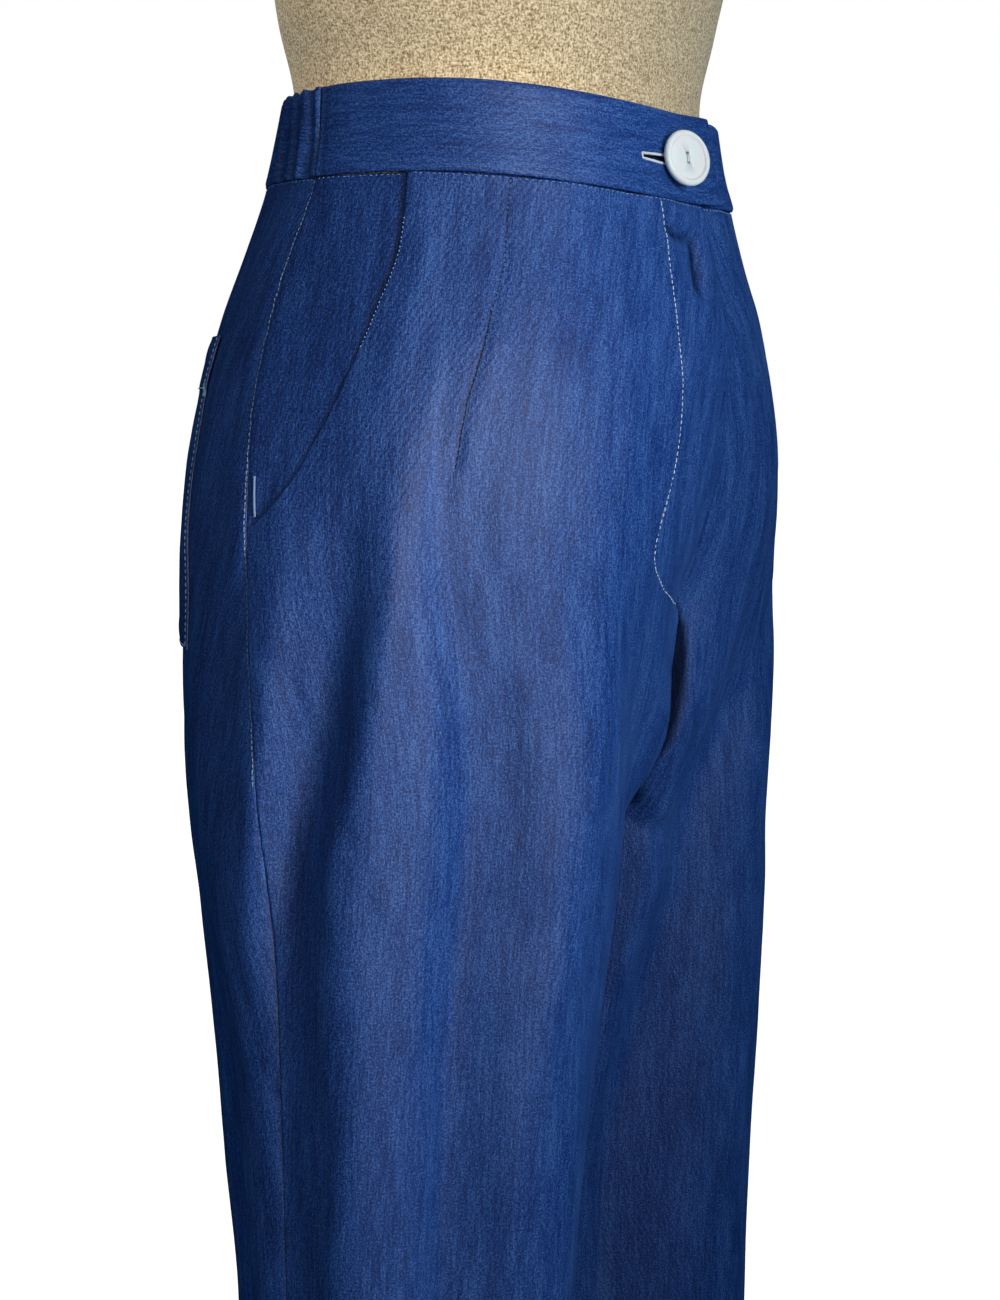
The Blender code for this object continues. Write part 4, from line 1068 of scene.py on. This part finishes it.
def apply_cut(target, cutter):
    """Cuts the target with the cutter, and removes the cutter."""
    modifier = target.modifiers.new("cut", "BOOLEAN")
    modifier.operation, modifier.solver, modifier.object = "DIFFERENCE", "EXACT", cutter
    evaluated = target.evaluated_get(bpy.context.evaluated_depsgraph_get())
    mesh = bpy.data.meshes.new_from_object(evaluated)
    target.modifiers.clear()
    target.data = mesh
    bpy.data.objects.remove(cutter)


def cut_buttonhole(band):
    row, distance = buttonhole_outline()
    rings = [on_cloth(RIGHT, row, distance, right_band_out(distance) + away) for away in (-0.012, 0.012)]
    count = len(row)
    lower, upper = list(range(count)), list(range(count, 2 * count))
    faces = [lower[::-1], upper]
    faces += [(i, (i + 1) % count, (i + 1) % count + count, i + count) for i in range(count)]
    mesh = bpy.data.meshes.new("slot")
    mesh.from_pydata(np.concatenate(rings), [], faces)
    build = bmesh.new()
    build.from_mesh(mesh)
    bmesh.ops.recalc_face_normals(build, faces=build.faces)
    build.to_mesh(mesh)
    build.free()
    slot = bpy.data.objects.new("slot", mesh)
    bpy.context.scene.collection.objects.link(slot)
    apply_cut(band, slot)


# ---------------------------------------------------------------- sewing thread
RING = np.radians(np.arange(0, 360, 60))
DIP = np.array([-0.7, 0.35, 0.65, 0.35, -0.7])         # a stitch's rise out of the cloth, in radii
SWELL = np.array([0.55, 1.0, 1.0, 1.0, 0.55])


def capsules(spines, normals, radius):
    """Points and faces of short round threads, one for each spine of five points."""
    tangent = spines[:, -1] - spines[:, 0]
    tangent /= np.linalg.norm(tangent, axis=-1, keepdims=True)
    beside_it = np.cross(tangent, normals)
    beside_it /= np.linalg.norm(beside_it, axis=-1, keepdims=True)
    up = np.cross(beside_it, tangent)
    ring = np.cos(RING)[:, None] * up[:, None, None] + np.sin(RING)[:, None] * beside_it[:, None, None]
    lifted = spines + (DIP * radius)[:, None] * up[:, None]
    points = lifted[:, :, None] + radius * SWELL[:, None, None] * ring
    sides, steps = len(RING), len(SWELL)
    block = np.arange(steps * sides).reshape(steps, sides)
    after = np.roll(block, -1, axis=1)
    quads = np.stack([block[:-1], after[:-1], after[1:], block[1:]], -1).reshape(-1, 4)
    ends = [block[0][::-1], block[-1]]
    shift = steps * sides * np.arange(len(spines))
    faces = (quads[None] + shift[:, None, None]).reshape(-1, 4).tolist()
    for end in ends:
        faces += (end[None] + shift[:, None]).tolist()
    return points.reshape(-1, 3), faces


def stitch_line(side, line, out, stitch, seed):
    """Spines and normals of stitches along a line of rows and distances."""
    length, gap = stitch
    rng = np.random.default_rng(seed)
    line = np.asarray(line, float)
    passed = np.concatenate([[0], np.cumsum(np.linalg.norm(np.diff(line, axis=0), axis=1))])
    starts = np.arange(gap / 2, passed[-1] - length, length + gap)
    starts = starts + rng.normal(0, 0.12 * gap, starts.shape)
    spans = length * (1 + rng.normal(0, 0.05, starts.shape))
    along = starts[:, None] + spans[:, None] * np.linspace(0, 1, 5)
    row = np.interp(along, passed, line[:, 0])
    distance = np.interp(along, passed, line[:, 1]) + rng.normal(0, 0.00005, starts.shape)[:, None]
    return spines_on(side, row, distance, out)


def spines_on(side, row, distance, out):
    height = out(side, distance, row)
    here = on_cloth(side, row, distance, height)
    above = on_cloth(side, row[:, 2], distance[:, 2], height[:, 2] + 0.001)
    normal = above - here[:, 2]
    return here, normal / np.linalg.norm(normal, axis=-1, keepdims=True)


def thread_piece(name, lines, radius, finish):
    """One piece made of many stitches."""
    spines = np.concatenate([line[0] for line in lines])
    normals = np.concatenate([line[1] for line in lines])
    points, faces = capsules(spines, normals, radius)
    return piece(name, points, faces, finish)


def level_line(row, start, end):
    return [(row, start), (row, end)]


def pocket_outline(side, inset):
    """Down one side of the back pocket, along its bottom and up the other."""
    rows = np.linspace(BACK_POCKET_TOP - 0.0004, BACK_POCKET_BOTTOM + inset, 60)
    near, far = back_pocket_span(side, rows)
    return np.concatenate([np.stack([rows, near + inset], -1), np.stack([rows, far - inset], -1)[::-1]])


def sew(white, pale, dark):
    """All the sewing that shows on the panels and pockets, with each dart drawn as a line of navy thread, painted
    shade for its groove.
    """
    long_line, ditch, glimpses, tone_and_dart_shade = [], [], [], []
    long_line.append(stitch_line(RIGHT, J_STITCH, front_out, FLY_STITCH, 71))
    seed = 80
    panels = ((front_span, front_out), (back_span, back_out))
    for side in (RIGHT, LEFT):
        for function, out in panels:
            seed += 1
            start, end = (float(value[0]) for value in function(side, np.array([WAIST_SEAM])))
            ditch.append(stitch_line(side, level_line(WAIST_SEAM - DITCH, start + 0.002, end - 0.001), out,
                                     DITCH_STITCH, seed))
        mouth, seam = (float(place(side, WAIST_SEAM)[()]) for place in (mouth_distance, seam_distance))
        ditch.append(stitch_line(side, level_line(WAIST_SEAM - DITCH, mouth + 0.001, seam - 0.001), facing_out,
                                 DITCH_STITCH, seed + 20))
        rows = np.linspace(WAIST_SEAM - 0.001, SIDE_STITCH_BOTTOM, 120)
        line = np.stack([rows, seam_distance(side, rows) + 0.0010], -1)
        glimpses.append(stitch_line(side, line, back_out, SIDE_STITCH, seed + 40))
        rows = np.linspace(*MOUTH_STITCH_ROWS, 30)
        line = np.stack([rows, mouth_distance(side, rows) - 0.0005], -1)
        glimpses.append(stitch_line(side, line, front_out, MOUTH_STITCH, seed + 50))
        # painted shade: close navy thread along each dart draws the dark line of the dart's groove
        tone_and_dart_shade.append(stitch_line(side, DART[:4], proud_front_out, DART_SHADE_STITCH, seed + 60))
        tone_and_dart_shade.append(stitch_line(side, DART[3:], proud_front_out, DART_TIP_SHADE_STITCH, seed + 60))
        for line in (pocket_outline(side, POCKET_STITCH_IN), pocket_hem(side)):
            long_line.append(stitch_line(side, line, back_pocket_out, POCKET_STITCH, seed + 70))
        for function, out in panels:
            start, end = (float(value[0]) for value in function(side, np.array([HEM + HEM_DEPTH])))
            line = level_line(HEM + HEM_DEPTH, start + 0.001, end - 0.001)
            tone_and_dart_shade.append(stitch_line(side, line, out, HEM_STITCH, seed + 80))
    thread_piece("topstitching", long_line, 0.00030, white)
    thread_piece("ditch_stitches", ditch, 0.00018, pale)
    thread_piece("seam_stitches", glimpses, 0.00026, pale)
    thread_piece("tone_stitches", tone_and_dart_shade, 0.00028, dark)


def proud_front_out(side, distance, row):
    """Where thread lies on top of the fullness beside the dart."""
    return front_out(side, distance, row) + 0.0004


def proud_facing_out(side, distance, row):
    """Where a tack stands on the pocket facing."""
    return facing_out(side, distance, row) + 0.0006


def pocket_hem(side):
    start, end = (float(value[0]) for value in back_pocket_span(side, np.array([BACK_POCKET_HEM])))
    return level_line(BACK_POCKET_HEM, start + POCKET_STITCH_IN, end - POCKET_STITCH_IN)


def satin(side, first, last, width, out, pitch=0.00034):
    """Threads laid side by side across a line between two places, each a row and a distance."""
    first, last = np.array(first), np.array(last)
    step = last - first
    length = np.linalg.norm(step)
    across = np.array([-step[1], step[0]]) / length
    middle = first + np.linspace(0, 1, max(2, round(length / pitch)))[:, None] * step
    share = np.linspace(-0.5, 0.5, 5) * width
    row = middle[:, :1] + across[0] * share
    distance = middle[:, 1:] + across[1] * share
    return spines_on(side, row, distance, out)


def sew_buttonhole(finish):
    """Satin stitch all round the slot, with a square bar tack at its far end."""
    row, distance = buttonhole_outline(0.0006)
    place = np.stack([row, distance], -1)
    runs = [satin(RIGHT, first, last, BUTTONHOLE_STITCH, band_out)
            for first, last in zip(place, np.roll(place, -1, axis=0))]
    thread_piece("buttonhole_stitches", runs, SATIN_RADIUS, finish)


def sew_tacks(finish, pale):
    """Bar tacks at the ends of the back pockets' mouths and of the slant pockets."""
    runs, slant = [], []
    for side in (RIGHT, LEFT):
        for line in (pocket_hem(side), pocket_hem(side)[::-1]):
            row, distance = line[0]
            inward = 1 if line[1][1] > distance else -1
            edge = distance - 0.0004 * inward
            low, high = (row - 0.0035, edge), (row + 0.0025, edge)
            runs.append(satin(side, low, high, BAR_TACK_WIDTH, back_pocket_out))
        ends = [(row, float(seam_distance(side, row)[()]) - SLANT_TACK_IN) for row in SLANT_TACK_ROWS]
        slant.append(satin(side, *ends, SLANT_TACK_WIDTH, proud_facing_out))
    thread_piece("bar_tacks", runs, SATIN_RADIUS, finish)
    thread_piece("slant_pocket_tacks", slant, SATIN_RADIUS, pale)


# ---------------------------------------------------------------- turned pieces and the form
def softened(profile, reach):
    """A profile of (radius, height) with its corners rounded."""
    profile = [np.array(point, float) for point in profile]
    out = [profile[0]]
    for before, corner, after in zip(profile, profile[1:], profile[2:]):
        first, last = (corner + (other - corner) * min(0.45, reach / np.linalg.norm(other - corner))
                       for other in (before, after))
        for t in np.linspace(0, 1, 5):
            out.append((1 - t) ** 2 * first + 2 * t * (1 - t) * corner + t * t * last)
    return out + [profile[-1]]


def turned(name, profile, finish, x=0.0, steps=96, nodes=(), closed=False):
    """A turned solid from a profile of (radius, height), from the bottom of the axis to its top."""
    angles = np.linspace(0, 2 * math.pi, steps, endpoint=False)
    points, rings = [], []
    for radius, height in profile:
        if radius < 1e-6:
            rings.append([len(points)] * steps)
            points.append((x, 0, height))
            continue
        rings.append(list(range(len(points), len(points) + steps)))
        points += [(x + radius * math.cos(a), radius * math.sin(a), height) for a in angles]
    faces = []
    for low, high in zip(rings, rings[1:] + rings[:1] if closed else rings[1:]):
        for i in range(steps):
            j = (i + 1) % steps
            corners = [low[i], low[j], high[j], high[i]]
            faces.append(list(dict.fromkeys(corners)))
    return piece(name, points, faces, finish, nodes, sharp=50)


def button(finish, white):
    """A two-hole button with a raised rim, sewn on with a wound shank of thread."""
    inside = BUTTON_RADIUS - BUTTON_RIM
    profile = [(0, 0), (BUTTON_BACK, 0), (BUTTON_RADIUS, 0.0014), (BUTTON_RADIUS, BUTTON_THICK - 0.0010),
               (BUTTON_RADIUS - 0.0010, BUTTON_THICK), (inside + 0.0006, BUTTON_THICK),
               (inside, BUTTON_THICK - BUTTON_WELL), (0, BUTTON_THICK - BUTTON_WELL)]
    made = turned("button_shown", softened(profile, 0.0006), finish, nodes=["button"])
    build = bmesh.new()
    for up in (-1, 1):
        shift = Matrix.Translation((0, up * BUTTON_HOLE_APART / 2, BUTTON_THICK / 2))
        bmesh.ops.create_cone(build, cap_ends=True, segments=24, radius1=BUTTON_HOLE, radius2=BUTTON_HOLE,
                              depth=2 * BUTTON_THICK, matrix=shift)
    mesh = bpy.data.meshes.new("holes")
    build.to_mesh(mesh)
    build.free()
    holes = bpy.data.objects.new("holes", mesh)
    bpy.context.scene.collection.objects.link(holes)
    apply_cut(made, holes)
    seat = button_seat()
    made.data.transform(seat)
    sew_button(seat, white)


def band_frame(distance, height):
    """A frame on the right band's face: axes across, up and out, and the place."""
    row = WAIST_SEAM + height

    def spot(away, up):
        turn = turn_at(RIGHT, row, distance + away)
        return Vector(cloth(RIGHT, turn, row + up, right_band_out(distance + away)))

    here, above, next_to = spot(0, 0), spot(0, 0.010), spot(-0.004, 0)
    up = (above - here).normalized()
    across = (next_to - here).normalized()
    out = across.cross(up).normalized()
    across = up.cross(out)
    return Matrix((across, up, out)).transposed().to_4x4(), here


def button_seat():
    axes, place = band_frame(BUTTON_FROM_FRONT, BUTTON_HEIGHT)
    tilt = math.radians(BUTTON_TILT)
    stand_off = BUTTON_BACK * math.sin(tilt) + GAP
    tilted = Matrix.Translation((0, 0, stand_off)) @ Matrix.Rotation(-tilt, 4, "Y")
    return Matrix.Translation(place) @ axes @ tilted


def sew_button(seat, finish):
    """Threads between the button's holes, and the shank down to the left half of the band."""
    top = BUTTON_THICK - BUTTON_WELL
    spines, normals = [], []
    for across in (-0.0005, 0.0, 0.0005):
        ups = np.linspace(-0.5, 0.5, 5) * (BUTTON_HOLE_APART + 0.0006)
        rises = np.array([-0.0006, 0.0002, 0.0003, 0.0002, -0.0006])
        spines.append([seat @ Vector((across, up, top + rise)) for up, rise in zip(ups, rises)])
        normals.append(seat.to_3x3() @ Vector((0, 0, 1)))
    row = WAIST_SEAM + BUTTON_HEIGHT
    foot = Vector(on_cloth(LEFT, row, -BUTTON_FROM_FRONT, left_band_out(-BUTTON_FROM_FRONT)))
    for angle in np.linspace(0, 2 * math.pi, 7, endpoint=False):
        lean = Vector((0.0009 * math.cos(angle), 0.0009 * math.sin(angle), 0.0))
        head = seat @ (lean + Vector((0, 0, 0.0002)))
        spines.append([head.lerp(foot + 0.8 * lean, share) for share in np.linspace(0, 1, 5)])
        normals.append(seat.to_3x3() @ Vector((math.cos(angle), math.sin(angle), 0)))
    points, faces = capsules(np.array(spines), np.array(normals), 0.00038)
    piece("button_thread", points, faces, finish)


def dress_form(cover, cap_finish, metal):
    """The limbless form: torso, neck cap, pole, collar and base."""
    angles = np.linspace(-math.pi, math.pi, 121)[:-1]
    top, bottom = TORSO[0, 0], TORSO[-1, 0]
    heights = np.concatenate([np.linspace(top, bottom + 0.012, 130), np.linspace(bottom + 0.011, bottom, 8)])
    rings = []
    for height in heights:
        x, y = oval(angles, *(read(TORSO, height, k) for k in (1, 2, 3)), FRONT_SQUARE, BACK_SQUARE)
        rings.append(np.stack([x, y, np.full_like(x, height)], -1))
    count = len(angles)
    faces = []
    for ring in range(len(rings) - 1):
        for i in range(count):
            j = (i + 1) % count
            faces.append((ring * count + j, ring * count + i, (ring + 1) * count + i, (ring + 1) * count + j))
    faces.append(list(range(count)))
    faces.append(list(range((len(rings) - 1) * count, len(rings) * count))[::-1])
    piece("form_cover", np.concatenate(rings), faces, cover, ["form_torso"], sharp=60)
    floor = BASE_THICK + GAP
    cap = [(0, GAP), (0.046, GAP), (0.050, 0.004), (0.047, 0.012), (0.020, 0.020), (0.010, 0.026),
           (0.015, 0.034), (0.013, 0.044), (0, 0.048)]
    turned("neck_cap", softened([(radius, top + height) for radius, height in cap], 0.004), cap_finish,
           nodes=["form_neck_cap"])
    pole = [(0, floor), (POLE_RADIUS, floor), (POLE_RADIUS, bottom - GAP), (0, bottom - GAP)]
    bore, neck_out, flange = POLE_RADIUS + GAP, POLE_RADIUS + COLLAR_WALL, POLE_RADIUS + COLLAR_FLANGE
    collar = [(bore, floor), (flange, floor), (flange, floor + 0.006), (neck_out, floor + 0.012),
              (neck_out, COLLAR_HEIGHT), (neck_out - 0.002, COLLAR_HEIGHT + 0.002), (bore, COLLAR_HEIGHT + 0.002)]
    base = [(0, 0), (BASE_RADIUS - 0.001, 0), (BASE_RADIUS, 0.001), (BASE_RADIUS, BASE_THICK - 0.003),
            (BASE_RADIUS - 0.003, BASE_THICK), (0, BASE_THICK)]
    turned("pole", softened(pole, 0.0008), metal, POLE_X, 64, ["form_pole"])
    turned("collar", softened(collar, 0.0012), metal, POLE_X, 64, ["form_collar"], closed=True)
    turned("base", softened(base, 0.0012), metal, 0.0, 160, ["form_base"])


# ---------------------------------------------------------------- the trousers
def trousers():
    """Every piece of cloth, each with its cut worked out, then the sewing and the button."""
    # the pocket facing takes a copy of the denim painted darker, as painted shade inside the pocket's mouth
    panel_denim, painted_dark_facing_denim, pocket_denim = denim("denim"), denim("denim_facing_painted_dark", 0.03), denim("denim_pocket")
    band_denim = denim("denim_band")
    back, back_cut = back_band(band_denim)
    for side, name in ((RIGHT, "right"), (LEFT, "left")):
        rows = panel_rows(BAND_TOP, BAND_BOTTOM, BAND_ROW)
        band, cut = cloth_piece(f"waistband_front_{name}", side, band_span, band_out, rows, BAND_COLUMN,
                                band_denim, BAND_SHELL, across_grain=True)
        if side == RIGHT:
            cut_buttonhole(band)
        rows = panel_rows(WAIST_SEAM, HEM)
        front, cut = cloth_piece(f"front_{name}", side, front_span, front_out, rows, FRONT_COLUMN, panel_denim)
        rear, cut = cloth_piece(f"back_{name}", side, back_span, back_out, rows, BACK_COLUMN, panel_denim)
        rows = panel_rows(WAIST_SEAM, SLANT_POCKET_BOTTOM)
        facing, cut = cloth_piece(f"pocket_facing_{name}", side, facing_span, facing_out, rows, POCKET_COLUMN,
                                  painted_dark_facing_denim)
        rows = panel_rows(BACK_POCKET_TOP, BACK_POCKET_BOTTOM, POCKET_COLUMN)
        pocket, cut = cloth_piece(f"back_pocket_{name}", side, back_pocket_span, back_pocket_out, rows,
                                  POCKET_COLUMN, pocket_denim)
    white = thread("thread_white", (0.80, 0.82, 0.84))
    pale = thread("thread_pale", (0.30, 0.42, 0.66))
    sew(white, pale, thread("thread_navy", (0.004, 0.014, 0.060)))
    sew_buttonhole(white)
    sew_tacks(white, pale)
    button(button_plastic(), white)


# ---------------------------------------------------------------- the studio
def lamp(name, kind, azimuth, elevation, power, settings):
    """A soft light at an azimuth and elevation as the views are numbered; a spot is close and has an aim."""
    light = bpy.data.lights.new(name, kind)
    light.energy = power
    made = bpy.data.objects.new(name, light)
    bpy.context.scene.collection.objects.link(made)
    a, e = math.radians(azimuth), math.radians(elevation)
    towards = Vector((math.sin(a) * math.cos(e), -math.cos(a) * math.cos(e), math.sin(e)))
    made.location = LIGHTS_ROUND + (SPOT_AWAY if kind == "SPOT" else SUN_AWAY) * towards
    for setting, value in settings.items():
        if setting == "aim":
            towards = (made.location - Vector(value)).normalized()
        else:
            setattr(made if setting.startswith("visible") else light, setting, value)
    made.rotation_euler = towards.to_track_quat("Z", "Y").to_euler()
    return made


def studio():
    """A plain pale floor, a white backdrop that only the camera sees, and soft light."""
    scene = bpy.context.scene
    scene.view_settings.view_transform = "Standard"
    world = bpy.data.worlds.new("studio")
    scene.world = world
    world.use_nodes = True
    tree = world.node_tree
    seen = tree.nodes["Background"]
    path = node(tree, "LightPath")
    tree.links.new(mixed(tree, path.outputs["Is Camera Ray"], AMBIENT, (1, 1, 1)), seen.inputs["Color"])
    tree.links.new(maths(tree, "SUBTRACT", 1.0, path.outputs["Is Glossy Ray"]), seen.inputs["Strength"])
    made = {name: lamp(name, *settings) for name, *settings in LAMPS}
    lit = bpy.data.collections.new("form")
    for name in FORM:
        lit.objects.link(bpy.data.objects[name])
    made["fill"].light_linking.receiver_collection = lit
    floor_finish, tree, shader = finish_of("floor", Roughness=0.8, Specular_IOR_Level=0.2)
    place = node(tree, "TexCoord").outputs["Object"]
    cloud = stretched_noise(tree, place, (0.8, 0.8, 0.8), 3.0, 0.5, "3D")
    tree.links.new(mixed(tree, cloud, (0.90, 0.90, 0.90), (0.94, 0.94, 0.94)), shader.inputs["Base Color"])
    shader.inputs["Emission Color"].default_value = FLOOR_GLOW
    shader.inputs["Emission Strength"].default_value = 1.0
    mesh = bpy.data.meshes.new("floor")
    angles = np.linspace(0, 2 * math.pi, FLOOR_SIDES, endpoint=False)
    rim = [(FLOOR_RADIUS * math.cos(a), FLOOR_RADIUS * math.sin(a), 0.0) for a in angles]
    mesh.from_pydata(rim, [], [list(range(FLOOR_SIDES))])
    mesh.materials.append(floor_finish)
    floor = bpy.data.objects.new("floor", mesh)
    scene.collection.objects.link(floor)
    floor.visible_diffuse = floor.visible_glossy = False


def camera():
    """The photograph's view: from the wearer's right front, at the height of the hips."""
    data = bpy.data.cameras.new("camera")
    data.sensor_fit, data.sensor_height, data.lens = "VERTICAL", 36.0, CAMERA_LENS
    data.clip_start, data.clip_end = 0.05, 100
    made = bpy.data.objects.new("camera", data)
    made.location = CAMERA_PLACE
    made.rotation_euler = (math.radians(CAMERA_TILT), 0, math.radians(CAMERA_TURN))
    bpy.context.scene.collection.objects.link(made)
    bpy.context.scene.camera = made


CAMERA_PLACE, CAMERA_LENS, CAMERA_TILT, CAMERA_TURN = (-0.8660, -0.5, 0.9815), 52.06, 82.2, -60
FLOOR_RADIUS, FLOOR_SIDES, FLOOR_GLOW = 25, 96, (0.90, 0.82, 0.76, 1)
AMBIENT = (0.060, 0.150, 0.230)        # light from all round in the shadows
LIGHTS_ROUND, SPOT_AWAY, SUN_AWAY = Vector((0, 0, 0.8)), 1.6, 2.0
SPOT = {"spot_size": math.radians(69), "spot_blend": 1.0}
# lights: name, kind, azimuth, elevation, power, other settings. The key is brightest past the right hip and
# fades down and left, the sheen only makes the cloth's gloss, and the fill lights the form alone.
LAMPS = [
    ("key", "SPOT", -26, 14, 118.0,
     {"aim": (-0.55, 0.20, 1.09), "shadow_soft_size": 0.32, "visible_glossy": False, **SPOT}),
    ("front", "SUN", -70, 30, 0.12, {"visible_glossy": False, "angle": 0.8}),
    ("side", "SUN", 60, 30, 0.50, {"visible_glossy": False, "angle": 0.5}),
    ("back", "SUN", 140, 50, 0.6, {"visible_glossy": False, "angle": 0.7}),
    ("sheen", "SPOT", -46, 16, 120.0,
     {"aim": (-0.50, 0.20, 1.02), "shadow_soft_size": 0.28, "visible_diffuse": False, **SPOT}),
    ("fill", "SUN", -110, 25, 1.9, {"color": (1.0, 0.88, 0.74), "angle": 1.0}),
]
FORM = ("form_cover", "neck_cap", "pole", "collar", "base")

trousers()
dress_form(linen(), wood(), coated_steel())
studio()
camera()
bpy.context.view_layer.update()
